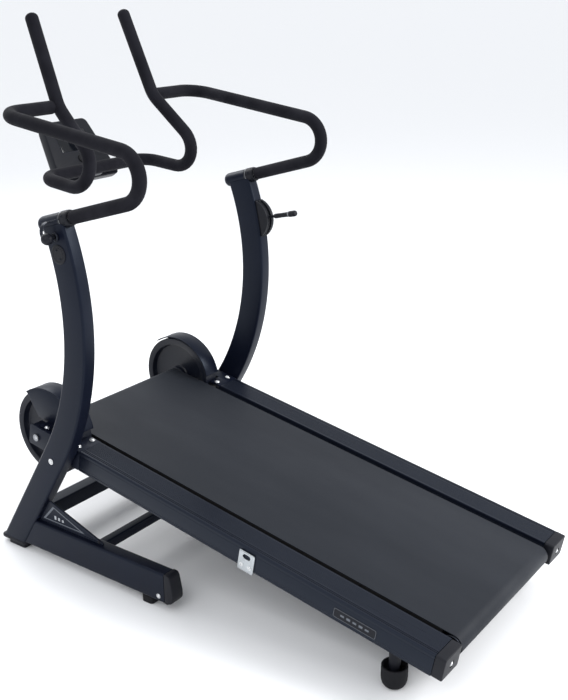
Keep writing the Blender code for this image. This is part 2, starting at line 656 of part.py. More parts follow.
def make_tension_control(looks):
    """The toothed housing behind the right upright, and its lever."""
    face, out = rear_face_point(DIAL_HEIGHT)
    frame = add_empty("dial_frame", at_side(face, UPRIGHT_X), (math.atan2(-out.z, -out.y), 0, 0))
    radius = (DIAL_LENGTH ** 2 / 4 + DIAL_DEPTH ** 2) / (2 * DIAL_DEPTH)
    half = math.asin(DIAL_LENGTH / 2 / radius)
    hump = UPRIGHT_DEPTH / 2 + BEND_RADIUS
    lift = hump - math.sqrt(hump ** 2 - DIAL_LENGTH ** 2 / 4)
    stations = ((-DIAL_WIDTH / 2, 0.008), (-DIAL_WIDTH / 2 + 0.008, 0.0), (DIAL_WIDTH / 2 - 0.008, 0.0),
                (DIAL_WIDTH / 2, 0.008))
    rings = []
    for x, inset in stations:
        ring = []
        for i in range(25):
            angle = half * (i / 12 - 1)
            reach = radius - inset
            ring.append(Vector((x, -(reach * math.cos(angle) - (radius - DIAL_DEPTH)), reach * math.sin(angle))))
        low = ring[0].z
        base = [Vector((x, -GAP - 0.0001, -low)), Vector((x, -GAP - 0.0001, low))]
        rings.append([point for point in ring if point.y < -0.002] + base)
    count = min(len(ring) for ring in rings)
    rings = [ring[(len(ring) - count) // 2:][:count - 2] + ring[-2:] for ring in rings]
    housing = add_object("tension_housing", lambda shape: loft(shape, rings), looks["plastic"], frame)

    def slot(shape):
        box(shape, (-LEVER_SLOT / 2, -0.08, -0.045), (LEVER_SLOT / 2, -0.004, 0.045))

    boolean(housing, "lever_slot", slot, parent=frame)
    pivot = (0, -0.016, 0)
    pin = 0.003

    def axle(shape):
        rod(shape, [(pin, -DIAL_WIDTH / 2 + 0.004), (pin, DIAL_WIDTH / 2 - 0.004)], 16, "X", pivot)

    boolean(housing, "lever_axle", axle, "UNION", parent=frame)
    face_turn = math.atan2(out.z, -out.y)
    blade = LEVER_SLOT / 2 - 0.0005
    hub = 0.010

    def lever(shape):
        turned(shape, [(pin + RUNNING, -blade), (hub, -blade), (hub, blade), (pin + RUNNING, blade)], 24, "X")

    tilt = LEVER_REST - face_turn
    made = add_object("tension_lever", lever, looks["plastic"], frame, pivot)
    made.rotation_euler = (-tilt, 0, 0)

    def arm(shape):
        sections = ((0.006, 0.0035), (0.026, 0.0035), (0.032, 0.0062), (LEVER_LENGTH - 0.024, 0.0062),
                    (LEVER_LENGTH - 0.023, 0.0078), (LEVER_LENGTH - 0.003, 0.0078), (LEVER_LENGTH, 0.005))
        loft(shape, [[Vector((a, -reach, b)) for a, b in circle(size, 16)] for reach, size in sections])

    joined = boolean(made, "lever_arm", arm, "UNION", frame, pivot)
    joined.rotation_euler = (-tilt, 0, 0)


def make_pivot_bolt(side, name, looks):
    """The shoulder bolt on which the deck folds: head outside, spacer between upright and bracket."""
    end = RAIL_OUTER - BRACKET_PLATE - 0.004
    profile = [(PIVOT_BOLT_RADIUS, end), (PIVOT_BOLT_RADIUS, RAIL_OUTER + GAP), (0.011, RAIL_OUTER + GAP),
               (0.011, UPRIGHT_INNER - GAP), (PIVOT_BOLT_RADIUS, UPRIGHT_INNER - GAP),
               (PIVOT_BOLT_RADIUS, UPRIGHT_OUTER + GAP), (0.0095, UPRIGHT_OUTER + GAP),
               (0.0095, UPRIGHT_OUTER + 0.0035), (0.007, UPRIGHT_OUTER + BOLT_HEAD)]
    profile = [(radius, side * x) for radius, x in profile]
    add_object(f"pivot_bolt_{name}", lambda shape: rod(shape, profile, 18, "X"), looks["steel"], place=PIVOT)


# ---------------------------------------------------------------- deck
def make_rail(side, name, looks, deck):
    """The hollow side rail, its grooved cover, its end cap and the boss for its levelling foot."""
    middle = side * (RAIL_INNER + RAIL_OUTER) / 2
    back = -DECK_REACH + END_CAP_LENGTH + GAP
    top = RAIL_TOP - COVER_THICKNESS
    height = top - RAIL_BOTTOM - GAP

    def section(width, tall, corner):
        return [[Vector((middle + a, y, RAIL_BOTTOM + height / 2 + b))
                 for a, b in rounded_rectangle(width, tall, corner)] for y in (back, -RAIL_FRONT)]

    outer = section(RAIL_WIDTH, height, 0.003)
    inner = section(RAIL_WIDTH - 2 * RAIL_WALL, height - 2 * RAIL_WALL, 0.001)
    rail = add_object(f"side_rail_{name}", lambda shape: hollow_loft(shape, outer, inner), looks["rail"], deck)

    def axle_slot(shape):
        size = AXLE_RADIUS + 0.0007
        side_box(shape, side, (RAIL_INNER - 0.01, RAIL_INNER + 0.01),
                 (back - 0.01, -REAR_AXLE_BACK + AXLE_RADIUS + 0.001), (AXLE_UP - size, AXLE_UP + size))

    boolean(rail, f"axle_slot_{name}", axle_slot, parent=deck)
    outside = side * RAIL_OUTER
    inside = side * RAIL_INNER
    edge = [(inside, top), (inside, RAIL_TOP - 0.001), (inside + side * 0.001, RAIL_TOP),
            (outside - side * 0.005, RAIL_TOP), (outside - side * 0.0015, RAIL_TOP - 0.0015),
            (outside, RAIL_TOP - 0.005), (outside, top)]
    cover = [[Vector((x, y, z)) for x, z in edge] for y in (back, -RAIL_FRONT)]
    add_object(f"rail_cover_{name}", lambda shape: loft(shape, cover), looks["rail"], deck)
    rings = []
    for y, inset in ((-DECK_REACH, CAP_EDGE), (-DECK_REACH + CAP_EDGE, 0.0), (-DECK_REACH + END_CAP_LENGTH, 0.0)):
        outline = rounded_rectangle(RAIL_WIDTH - 2 * inset, RAIL_HEIGHT - 2 * inset, 0.004)
        rings.append([Vector((middle + a, y, RAIL_BOTTOM + RAIL_HEIGHT / 2 + b)) for a, b in outline])
    cap = add_object(f"rail_end_cap_{name}", lambda shape: loft(shape, rings), looks["plastic"], deck)
    wall = 0.004

    def pocket(shape):
        side_box(shape, side, (RAIL_INNER + wall, RAIL_OUTER - wall), (-DECK_REACH + wall, back + 0.01),
                 (RAIL_BOTTOM + wall, RAIL_TOP - wall))

    def notch(shape):
        size = AXLE_RADIUS + 0.0007
        side_box(shape, side, (RAIL_INNER - 0.01, RAIL_INNER + wall + 0.01),
                 (-REAR_AXLE_BACK - AXLE_RADIUS - 0.001, back + 0.01), (AXLE_UP - size, AXLE_UP + size))

    boolean(cap, f"cap_pocket_{name}", pocket, parent=deck)
    boolean(cap, f"cap_notch_{name}", notch, parent=deck)


def foot_place(side):
    """The levelling foot's middle, and the height of the rail's underside above it."""
    across = side * (RAIL_OUTER - FOOT_X_INSET)
    y = -FOOT_BACK * math.cos(DECK_SLOPE)
    return across, y


def rail_underside(y):
    """Height of the rail's sloping underside at a place along the machine."""
    return PIVOT_HEIGHT + y * math.tan(DECK_SLOPE) + RAIL_BOTTOM / math.cos(DECK_SLOPE)


def make_levelling_foot(side, name, looks):
    """A boss under the rail, and the rubber cup whose stem screws into it. Both stand upright at rest."""
    x, y = foot_place(side)
    bore = 0.0055
    low = FOOT_CUP_HEIGHT - 0.014
    floor = low - 0.0025
    stem_top = FOOT_CUP_HEIGHT + 0.030
    outer = []
    inner = []
    for radius, rings in ((FOOT_BOSS_RADIUS, outer), (bore + RUNNING, inner)):
        plan = circle(radius, 20)
        rings.append([Vector((x + a, y + b, low)) for a, b in plan])
        rings.append([Vector((x + a, y + b, rail_underside(y + b) - GAP / math.cos(DECK_SLOPE)))
                      for a, b in plan])
    add_object(f"foot_boss_{name}", lambda shape: hollow_loft(shape, outer, inner), looks["plastic"])
    wide = FOOT_CUP_RADIUS
    profile = [(0.014, 0.0), (0.021, 0.003), (wide - 0.002, 0.012), (wide, 0.021), (wide, FOOT_CUP_HEIGHT - 0.001),
               (wide - 0.001, FOOT_CUP_HEIGHT), (wide - 0.004, FOOT_CUP_HEIGHT), (wide - 0.006, floor),
               (bore, floor), (bore, stem_top)]
    add_object(f"levelling_foot_{name}", lambda shape: rod(shape, profile, 20, "Z"), looks["rubber"],
               place=(x, y, 0))


def stadium(radius, front, back, steps=10):
    """Outline round two rollers, in the deck's own Y-Z plane."""
    points = []
    for i in range(steps + 1):
        angle = math.pi / 2 - math.pi * i / steps
        points.append((front + radius * math.cos(angle), AXLE_UP + radius * math.sin(angle)))
    for i in range(steps + 1):
        angle = -math.pi / 2 - math.pi * i / steps
        points.append((back + radius * math.cos(angle), AXLE_UP + radius * math.sin(angle)))
    return points


def make_belt_and_board(looks, deck):
    half = BELT_WIDTH / 2
    outer = stadium(BELT_WRAP, AXLE_REACH, -REAR_AXLE_BACK)
    inner = stadium(ROLLER_RADIUS + GAP, AXLE_REACH, -REAR_AXLE_BACK)
    rings = [[[Vector((x, y, z)) for y, z in line] for x in (-half, half)] for line in (outer, inner)]
    add_object("running_belt", lambda shape: hollow_loft(shape, *rings), looks["belt"], deck)
    top = BELT_TOP - BELT_THICKNESS - GAP
    side = RAIL_INNER - GAP
    board = BELT_WIDTH / 2 - BOARD_INSET
    front = AXLE_REACH - ROLLER_RADIUS - 0.004
    back = -REAR_AXLE_BACK + ROLLER_RADIUS + 0.004
    add_object("deck_board", lambda shape: box(shape, (-board, back, top - BOARD_THICKNESS), (board, front, top)),
               looks["board"], deck)
    for name, y in (("front_crossmember", -RAIL_FRONT - 0.060), ("rear_crossmember", -REAR_AXLE_BACK + 0.110)):
        low = AXLE_UP - ROLLER_RADIUS + 0.004
        high = top - BOARD_THICKNESS - GAP
        tall = high - low
        outer = [[Vector((x, y + a, (low + high) / 2 + b)) for a, b in rounded_rectangle(0.040, tall, 0.003)]
                 for x in (-side, side)]
        inner = [[Vector((x, y + a, (low + high) / 2 + b))
                  for a, b in rounded_rectangle(0.040 - 2 * STEEL_WALL, tall - 2 * STEEL_WALL, 0.001)]
                 for x in (-side, side)]
        add_object(name, lambda shape, o=outer, i=inner: hollow_loft(shape, o, i), looks["paint"], deck)


def make_roller_bracket(side, name, looks, deck):
    """The steel bracket that carries the front axle and turns on the pivot bolt."""
    plate = (RAIL_OUTER - BRACKET_PLATE, RAIL_OUTER)
    flange = 0.004
    back = -RAIL_FRONT + GAP

    def side_plate(shape):
        side_box(shape, side, plate, (back, BRACKET_REACH), (RAIL_BOTTOM, RAIL_TOP))

    bracket = add_object(f"roller_bracket_{name}", side_plate, looks["paint"], deck)
    ledge = FLYWHEEL_OUT + 0.0055
    parts = {
        "ledge": ((ledge, RAIL_OUTER - 0.001), (back, BRACKET_REACH - 0.006), (RAIL_TOP - flange, RAIL_TOP - 0.0001)),
        "head": ((RAIL_INNER, RAIL_OUTER - 0.001), (back + 0.0001, back + 0.036), (RAIL_TOP - flange - 0.0002, RAIL_TOP - 0.0002)),
        "wall": ((RAIL_INNER + 0.0002, RAIL_OUTER - 0.001), (back + 0.0002, back + 0.005), (RAIL_BOTTOM + 0.001, RAIL_TOP - 0.002)),
    }
    for part, ranges in parts.items():
        boolean(bracket, f"bracket_{part}_{name}", lambda shape, r=ranges: side_box(shape, side, *r), "UNION", deck)
    for part, y, z, radius in (("axle", AXLE_REACH, AXLE_UP, AXLE_RADIUS), ("pivot", 0.0, 0.0, PIVOT_BOLT_RADIUS)):
        ends = sorted((side * (RAIL_OUTER - 0.02), side * (RAIL_OUTER + 0.02)))

        def hole(shape, reach=ends, size=radius + RUNNING):
            rod(shape, [(size, reach[0]), (size, reach[1])], 20, "X")

        boolean(bracket, f"bracket_{part}_hole_{name}", hole, parent=deck, place=(0, y, z))


def arc_points(radius, first, last, steps, centre=(0.0, 0.0)):
    return [(centre[0] + radius * math.cos(first + (last - first) * i / steps),
             centre[1] + radius * math.sin(first + (last - first) * i / steps)) for i in range(steps + 1)]


def make_fender(side, name, looks, deck):
    """The sheet guard over a flywheel, with its side plate and the tab that sits on the bracket's ledge."""
    centre = (AXLE_REACH, AXLE_UP)
    inner = FLYWHEEL_RADIUS + FENDER_CLEARANCE
    outer = inner + FENDER_SHEET
    front = math.radians(45)
    back = math.radians(158)
    shell = arc_points(outer, front, back, 16, centre) + arc_points(inner, back, front, 16, centre)
    reach = (FLYWHEEL_IN - 0.003, FLYWHEEL_OUT + 0.0035)
    fender = add_object(f"fender_{name}", lambda shape: slab(shape, shell, reach, side), looks["paint"], deck)
    foot = RAIL_TOP + GAP
    skirt = arc_points(outer - 0.0005, front, back, 16, centre) + [(centre[0] - 0.045, foot), (centre[0] + 0.034, foot + 0.003)]
    sheet = (FLYWHEEL_OUT + 0.0015, FLYWHEEL_OUT + 0.0034)
    boolean(fender, f"fender_side_{name}", lambda shape: slab(shape, skirt, sheet, side), "UNION", deck)
    tab = (FLYWHEEL_OUT + 0.0016, RAIL_OUTER - 0.008)

    def tab_box(shape):
        side_box(shape, side, tab, (centre[0] - 0.028, centre[0] + 0.002), (foot + 0.0001, foot + 0.0021))

    boolean(fender, f"fender_tab_{name}", tab_box, "UNION", deck)


def make_roller(name, y, looks, deck):
    """A tube roller with a bush at each end, turning on its fixed axle."""
    bore = AXLE_RADIUS + RUNNING
    bush = 0.018
    inside = ROLLER_RADIUS - ROLLER_WALL
    half = ROLLER_HALF if name == "front_roller" else BELT_WIDTH / 2 + 0.004
    profile = [(ROLLER_RADIUS, half), (ROLLER_RADIUS, -half), (bore, -half), (bore, -half + bush),
               (inside, -half + bush), (inside, half - bush), (bore, half - bush), (bore, half)]
    add_object(name, lambda shape: turned(shape, profile, 28, "X"), looks["steel"], deck, (0, y, AXLE_UP))


def make_flywheel(side, name, looks, deck):
    """A cast wheel with a heavy rim, a thin web and a hub."""
    bore = AXLE_RADIUS + RUNNING
    hub = 0.024
    rim = FLYWHEEL_RADIUS - FLYWHEEL_RIM
    low = FLYWHEEL_IN
    high = FLYWHEEL_OUT
    near = (low + high - FLYWHEEL_WEB) / 2
    far = (low + high + FLYWHEEL_WEB) / 2
    edge = 0.0015
    profile = [(bore, low), (hub, low), (hub, near), (rim - 0.004, near), (rim, low), (FLYWHEEL_RADIUS - edge, low),
               (FLYWHEEL_RADIUS, low + edge), (FLYWHEEL_RADIUS, high - edge), (FLYWHEEL_RADIUS - edge, high),
               (rim, high), (rim - 0.004, far), (hub, far), (hub, high), (bore, high)]
    profile = [(radius, side * x) for radius, x in profile]
    add_object(f"flywheel_{name}", lambda shape: turned(shape, profile, 36, "X"), looks["iron"], deck,
               (0, AXLE_REACH, AXLE_UP))


def make_axles(looks, deck):
    half = RAIL_OUTER + 0.004
    head = 0.009
    profile = [(head, -half), (head, -RAIL_OUTER - GAP), (AXLE_RADIUS, -RAIL_OUTER - GAP),
               (AXLE_RADIUS, RAIL_OUTER + GAP), (head, RAIL_OUTER + GAP), (head, half)]
    add_object("front_axle", lambda shape: rod(shape, profile, 18, "X"), looks["steel"], deck,
               (0, AXLE_REACH, AXLE_UP))
    reach = RAIL_INNER + 0.030
    plain = [(AXLE_RADIUS, -reach), (AXLE_RADIUS, reach)]
    add_object("rear_axle", lambda shape: rod(shape, plain, 18, "X"), looks["steel"], deck,
               (0, -REAR_AXLE_BACK, AXLE_UP))


def make_catch(looks, deck):
    """The plate on the left rail whose hole takes the latch pin when the deck is folded."""
    middle_y = -CATCH_BACK
    low = RAIL_BOTTOM - 0.006
    high = RAIL_TOP - COVER_THICKNESS - 0.001
    outline = [(middle_y + a, (low + high) / 2 + b) for a, b in rounded_rectangle(0.042, high - low, 0.003)]
    reach = (RAIL_OUTER + GAP, RAIL_OUTER + GAP + CATCH_PLATE)
    plate = add_object("catch_plate", lambda shape: slab(shape, outline, reach, -1), looks["steel"], deck)

    def hole(shape):
        size = PIN_RADIUS + 0.0008
        slot = rounded_rectangle(2 * size + 0.005, 2 * size, size - 0.0001, 5)
        slab(shape, slot, (RAIL_OUTER + 0.0001, RAIL_OUTER + 0.02), -1)

    boolean(plate, "catch_hole", hole, parent=deck, place=(0, middle_y, CATCH_UP))


def make_magnet_carrier(looks, deck):
    """The arm inside the right flywheel's outer recess, with the magnet shoe that brakes the rim."""
    pivot = (AXLE_REACH - 0.0475, AXLE_UP - 0.0125)
    to_axle = (AXLE_REACH - pivot[0], AXLE_UP - pivot[1])
    first = math.radians(-125)
    last = math.radians(-55)
    rim = FLYWHEEL_RADIUS - FLYWHEEL_RIM
    shoe_out = rim - 0.0068
    shoe_in = shoe_out - 0.009
    web = (FLYWHEEL_IN + FLYWHEEL_OUT + FLYWHEEL_WEB) / 2
    arm_low = FLYWHEEL_OUT + 0.001
    shoe = arc_points(shoe_out, first, last, 10, to_axle) + arc_points(shoe_in, last, first, 10, to_axle)
    carrier = add_object("magnet_carrier", lambda shape: slab(shape, shoe, (web + 0.003, arm_low + 0.002)),
                         looks["magnet"], deck, (0, *pivot))
    arm = arc_points(0.009, math.radians(60), math.radians(240), 8) + arc_points(shoe_in + 0.002, first, last, 8, to_axle)
    boolean(carrier, "carrier_arm", lambda shape: slab(shape, arm, (arm_low, arm_low + 0.003)), "UNION", deck,
            (0, *pivot))


# ---------------------------------------------------------------- the whole machine
def clear_scene():
    for thing in list(bpy.data.objects):
        bpy.data.objects.remove(thing, do_unlink=True)


def main():
    clear_scene()
    looks = make_materials()
    add_empty("machine", (CENTRE_X, PIVOT_Y, 0))
    deck = add_empty("deck_pivot", PIVOT, (DECK_SLOPE, 0, 0))
    for side, name in SIDES:
        add_empty(f"sleeve_frame_{name}", at_side(SLEEVE_CENTRE, side * UPRIGHT_X), (math.pi / 2 - SLEEVE_RISE, 0, 0))
        make_upright(side, name, looks)
        make_floor_tube(side, name, looks)
        make_rear_cap(side, name, looks)
        make_front_cap(side, name, looks)
        make_rear_pad(side, name, looks)
        make_gusset(side, name, looks)
        make_sleeve(name, looks)
        make_handle(side, name, looks)
        make_pivot_bolt(side, name, looks)
        make_rail(side, name, looks, deck)
        make_roller_bracket(side, name, looks, deck)
        make_fender(side, name, looks, deck)
        make_flywheel(side, name, looks, deck)
        make_levelling_foot(side, name, looks)
    make_crossbars(looks)
    make_horns(looks)
    make_console(looks)
    make_latch(looks)
    make_tension_control(looks)
    make_belt_and_board(looks, deck)
    make_roller("front_roller", AXLE_REACH, looks, deck)
    make_roller("rear_roller", -REAR_AXLE_BACK, looks, deck)
    make_axles(looks, deck)
    make_catch(looks, deck)
    make_magnet_carrier(looks, deck)


main()
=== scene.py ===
# %% [markdown]
# # A folding manual treadmill
# The machine is a black steel stand with two curved uprights, and a sloping belt deck that hangs between them on
# two bolts. Nothing drives the belt but the runner, so two heavy wheels beside the front roller keep it turning.
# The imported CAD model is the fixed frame. It says where everything is, and each cell below adds a finished piece.

# %% Load the frame and keep its size
import json
import math

import bpy
from mathutils import Matrix, Vector


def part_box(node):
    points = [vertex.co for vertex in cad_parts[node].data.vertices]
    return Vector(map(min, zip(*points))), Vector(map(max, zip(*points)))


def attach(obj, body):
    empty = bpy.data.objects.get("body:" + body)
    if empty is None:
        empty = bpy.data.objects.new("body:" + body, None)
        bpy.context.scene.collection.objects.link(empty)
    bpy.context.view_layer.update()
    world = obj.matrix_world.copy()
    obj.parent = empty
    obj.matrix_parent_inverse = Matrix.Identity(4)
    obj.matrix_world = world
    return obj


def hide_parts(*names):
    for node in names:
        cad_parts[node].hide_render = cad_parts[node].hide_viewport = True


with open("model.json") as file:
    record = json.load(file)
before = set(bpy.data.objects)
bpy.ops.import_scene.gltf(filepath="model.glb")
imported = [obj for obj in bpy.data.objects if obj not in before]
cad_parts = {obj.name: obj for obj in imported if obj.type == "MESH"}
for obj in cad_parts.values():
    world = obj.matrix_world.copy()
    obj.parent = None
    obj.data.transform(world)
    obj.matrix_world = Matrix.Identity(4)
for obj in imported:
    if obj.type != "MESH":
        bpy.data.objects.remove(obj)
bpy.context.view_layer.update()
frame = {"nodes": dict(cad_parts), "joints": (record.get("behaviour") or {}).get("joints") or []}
joints = {joint["name"]: joint for joint in frame["joints"]}

# %% [markdown]
# ## Where things are measured from
# The stand is easiest to describe from a point on the floor under the fold pivot, and the deck from the pivot
# itself, tipped by its slope. Each piece is drawn in whichever of the two is simpler, and is then moved into the
# machine's own frame once, at the end.

# %% Two working frames
pivot = Vector(joints["deck_fold"]["pos_m"])
pivot_height = pivot.z
slope = math.radians(10.0)
STAND = Matrix.Translation((pivot.x, pivot.y, 0))
DECK = Matrix.Translation(pivot) @ Matrix.Rotation(slope, 4, "X")
GAP = 0.0003
ORIGIN = (0, 0, 0)
ACROSS = (1, 0, 0)
UPWARD = (0, 0, 1)


def from_stand(node, corner):
    """One corner of a CAD node's box, measured in the stand's working frame."""
    return STAND.inverted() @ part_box(node)[corner]


tube_in = from_stand("upright_right", 0).x
tube_out = from_stand("upright_right", 1).x
tube_x = (tube_in + tube_out) / 2
rail_in = from_stand("rail_cover_right", 0).x
rail_out = from_stand("rail_cover_right", 1).x
print(f"pivot {pivot_height:.4f} m up, uprights {tube_in:.3f} to {tube_out:.3f} m out")
print(f"rails {rail_in:.3f} to {rail_out:.3f} m out")

# %% [markdown]
# ## The maker's tools
# Almost everything here starts as a line of edges. A line can be filled and extruded into a plate, or spun into a
# turned part. A round section can be extruded and spun along a bent tube, the way a pipe bender makes it. The
# helpers below only chain those edit-mode steps.


# %% Drawing in edit mode
def nothing_selected():
    if bpy.context.object and bpy.context.object.mode != "OBJECT":
        bpy.ops.object.mode_set(mode="OBJECT")
    bpy.ops.object.select_all(action="DESELECT")


def edit_all():
    """Opens the active piece in edit mode, with everything selected."""
    bpy.ops.object.mode_set(mode="EDIT")
    bpy.ops.mesh.select_all(action="SELECT")


def push(move):
    """Extrudes what is selected, straight along a vector."""
    bpy.ops.mesh.extrude_region_move(TRANSFORM_OT_translate={"value": move})


def draw_line(points):
    """Leaves edit mode on, with a chain of edges through the points, all selected."""
    points = [Vector(point) for point in points]
    nothing_selected()
    bpy.ops.mesh.primitive_plane_add(size=0.001, location=points[0])
    edit_all()
    bpy.ops.mesh.merge(type="CENTER")
    for before, after in zip(points, points[1:]):
        push(after - before)
    bpy.ops.mesh.select_all(action="SELECT")
    bpy.ops.mesh.remove_doubles(threshold=1e-6)


def draw_plate(outline, thickness):
    """A flat plate: the outline closed and filled, then extruded by a vector."""
    draw_line(list(outline) + [outline[0]])
    bpy.ops.mesh.edge_face_add()
    push(thickness)


def draw_rounded(outline, corner, segments, thickness):
    """A flat plate with its outline's corners rounded."""
    draw_line(list(outline) + [outline[0]])
    bpy.ops.mesh.edge_face_add()
    bpy.ops.mesh.bevel(affect="VERTICES", offset=corner, segments=segments)
    push(thickness)


def rectangle(low, high):
    """The four corners between two opposite ones, in a plane."""
    return [(low[0], low[1]), (high[0], low[1]), (high[0], high[1]), (low[0], high[1])]


def arc(centre, radius, start, end, steps):
    """Points round part of a circle in a plane, from one angle in degrees to another."""
    turns = [math.radians(start + (end - start) * step / steps) for step in range(steps + 1)]
    return [(centre[0] + radius * math.cos(turn), centre[1] + radius * math.sin(turn)) for turn in turns]


def draw_turned(profile, centre=ORIGIN, axis=UPWARD, steps=64):
    """A turned part: the profile's (radius, distance) points spun all the way round an axis."""
    axis = Vector(axis).normalized()
    outward = Vector(UPWARD) if abs(axis.z) < 0.9 else Vector(ACROSS)
    outward = (outward - axis * outward.dot(axis)).normalized()
    centre = Vector(centre)
    draw_line([centre + outward * radius + axis * distance for radius, distance in profile])
    bpy.ops.mesh.spin(steps=steps, angle=2 * math.pi, center=centre, axis=axis)


def draw_tube(corners, bends, radius, sides=28, steps=14):
    """A bent tube: a round section pushed straight, then spun round each bend."""
    corners = [Vector(corner) for corner in corners]
    ahead = (corners[1] - corners[0]).normalized()
    nothing_selected()
    bpy.ops.mesh.primitive_circle_add(vertices=sides, radius=radius, location=corners[0],
                                      rotation=ahead.to_track_quat("Z", "Y").to_euler())
    edit_all()
    here = corners[0]
    for before, corner, after, bend in zip(corners, corners[1:], corners[2:], bends):
        back = (before - corner).normalized()
        onward = (after - corner).normalized()
        half = back.angle(onward) / 2
        middle = corner + (back + onward).normalized() * (bend / math.sin(half))
        start = corner + back * (bend / math.tan(half))
        push(start - here)
        bpy.ops.mesh.spin(steps=steps, angle=math.pi - 2 * half, center=middle, axis=back.cross(onward).normalized())
        here = corner + onward * (bend / math.tan(half))
    push(corners[-1] - here)


def close_round(centre, outward, depth):
    """Rounds off the selected end ring of a tube in four steps, and closes it."""
    outward = Vector(outward).normalized()
    before = 1.0
    place = Vector(centre)
    for step in range(1, 5):
        angle = step * math.pi / 10
        move = outward * depth * (math.sin(angle) - math.sin(angle - math.pi / 10))
        place = place + move
        push(move)
        share = math.cos(angle)
        bpy.ops.transform.resize(value=(share / before,) * 3, center_override=place)
        before = share
    bpy.ops.mesh.edge_face_add()


def close_holes():
    bpy.ops.mesh.select_all(action="DESELECT")
    bpy.ops.mesh.select_mode(type="EDGE")
    bpy.ops.mesh.select_non_manifold()
    bpy.ops.mesh.fill_holes(sides=0)
    bpy.ops.mesh.select_mode(type="VERT")
    bpy.ops.mesh.select_all(action="SELECT")


def modify(kind, **settings):
    """Puts a modifier on the active piece and applies it."""
    bpy.ops.object.mode_set(mode="OBJECT")
    step = bpy.context.object.modifiers.new(kind, kind)
    for key, value in settings.items():
        setattr(step, key, value)
    bpy.ops.object.modifier_apply(modifier=step.name)


def bevel_edges(width, segments=3, angle=35):
    """A live edge never stays sharp on a real part, so each one is broken by a small bevel."""
    modify("BEVEL", width=width, segments=segments, limit_method="ANGLE", angle_limit=math.radians(angle))


def make_active(piece):
    nothing_selected()
    piece.select_set(True)
    bpy.context.view_layer.objects.active = piece


def cut_with(piece, cutter, operation="DIFFERENCE"):
    """Cuts a piece with another object, which is then thrown away."""
    make_active(piece)
    modify("BOOLEAN", object=cutter, operation=operation, solver="EXACT")
    bpy.data.objects.remove(cutter)


def drawn(draw, *args, **settings):
    """Draws something, makes its faces point outwards, and hands it over in object mode."""
    draw(*args, **settings)
    bpy.ops.mesh.select_all(action="SELECT")
    bpy.ops.mesh.remove_doubles(threshold=1e-6)
    bpy.ops.mesh.normals_make_consistent(inside=False)
    bpy.ops.object.mode_set(mode="OBJECT")
    return bpy.context.object


def turned(profile, *place, **settings):
    return drawn(draw_turned, profile, *place, **settings)


def bead(points, radius, resolution, caps=False):
    """A run of weld: a line made round, like a wire."""
    draw_line(points)
    bpy.ops.object.mode_set(mode="OBJECT")
    bpy.ops.object.convert(target="CURVE")
    wire = bpy.context.object.data
    wire.bevel_depth = radius
    wire.bevel_resolution = resolution
    wire.use_fill_caps = caps
    bpy.ops.object.convert(target="MESH")
    return bpy.context.object


def joined(pieces):
    """Makes several objects one."""
    nothing_selected()
    for piece in pieces:
        piece.select_set(True)
    bpy.context.view_layer.objects.active = pieces[0]
    if len(pieces) > 1:
        bpy.ops.object.join()
    return bpy.context.object


# %% [markdown]
# ## Handing a piece over
# A finished piece keeps its place in its mesh, so its object sits unturned at the origin. The machine is nearly
# the same left and right, so most pieces are drawn once on the right, copied, and mirrored with their own mesh.


# %% Finishing, mirroring and riding
def finish_mesh(place, smooth):
    bpy.ops.object.mode_set(mode="OBJECT")
    piece = bpy.context.object
    piece.matrix_world = place @ piece.matrix_world
    make_active(piece)
    bpy.ops.object.transform_apply(location=True, rotation=True, scale=True)
    edit_all()
    bpy.ops.mesh.remove_doubles(threshold=2e-6)
    bpy.ops.mesh.normals_make_consistent(inside=False)
    bpy.ops.object.mode_set(mode="OBJECT")
    bpy.ops.object.shade_smooth_by_angle(angle=math.radians(smooth))
    return piece


def mirrored(piece):
    """A copy on the other side of the machine, with its own mesh and its faces outwards."""
    make_active(piece)
    bpy.ops.object.duplicate(linked=False)
    twin = bpy.context.object
    twin.scale.x = -1
    twin.location.x = 2 * pivot.x
    bpy.ops.object.transform_apply(location=True, rotation=True, scale=True)
    edit_all()
    bpy.ops.mesh.normals_make_consistent(inside=False)
    bpy.ops.object.mode_set(mode="OBJECT")
    return twin


def dress(piece, look):
    piece.data.materials.clear()
    piece.data.materials.append(look)


def hand_over(piece, name, body, look, replaces=()):
    piece.name = name
    piece.data.name = name
    dress(piece, look)
    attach(piece, body)
    if replaces:
        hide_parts(*replaces)
    return piece


def finish(name, body, look, place=STAND, replaces=(), smooth=38):
    return hand_over(finish_mesh(place, smooth), name, body, look, replaces)


def finish_pair(name, body, look, place=STAND, replaces=(), smooth=38):
    """The right one as drawn, and its mirrored twin on the left. SIDE in a name becomes right or left."""
    right = finish_mesh(place, smooth)
    left = mirrored(right)
    for piece, side in ((right, "right"), (left, "left")):
        hand_over(piece, f"{name}_{side}", body.replace("SIDE", side), look,
                  [node.replace("SIDE", side) for node in replaces])
    return right, left


# %% [markdown]
# ## Writing finishes as arithmetic
# A material is a small sum over noise and waves. Wrapping a socket in a class lets the sum be written as a Python
# expression, and one method adds every other kind of node.


# %% A socket that can be added and multiplied
class Amount:
    """A number that varies over the surface."""

    def __init__(self, recipe, socket):
        self.recipe = recipe
        self.socket = socket

    def math(self, operation, first, second):
        node = self.recipe.node("ShaderNodeMath", {"operation": operation}, {0: first, 1: second})
        return Amount(self.recipe, node.outputs[0])

    def __add__(self, other):
        return self.math("ADD", self, other)

    __radd__ = __add__

    def __sub__(self, other):
        return self.math("SUBTRACT", self, other)

    def __rsub__(self, other):
        return self.math("SUBTRACT", other, self)

    def __mul__(self, other):
        return self.math("MULTIPLY", self, other)

    __rmul__ = __mul__


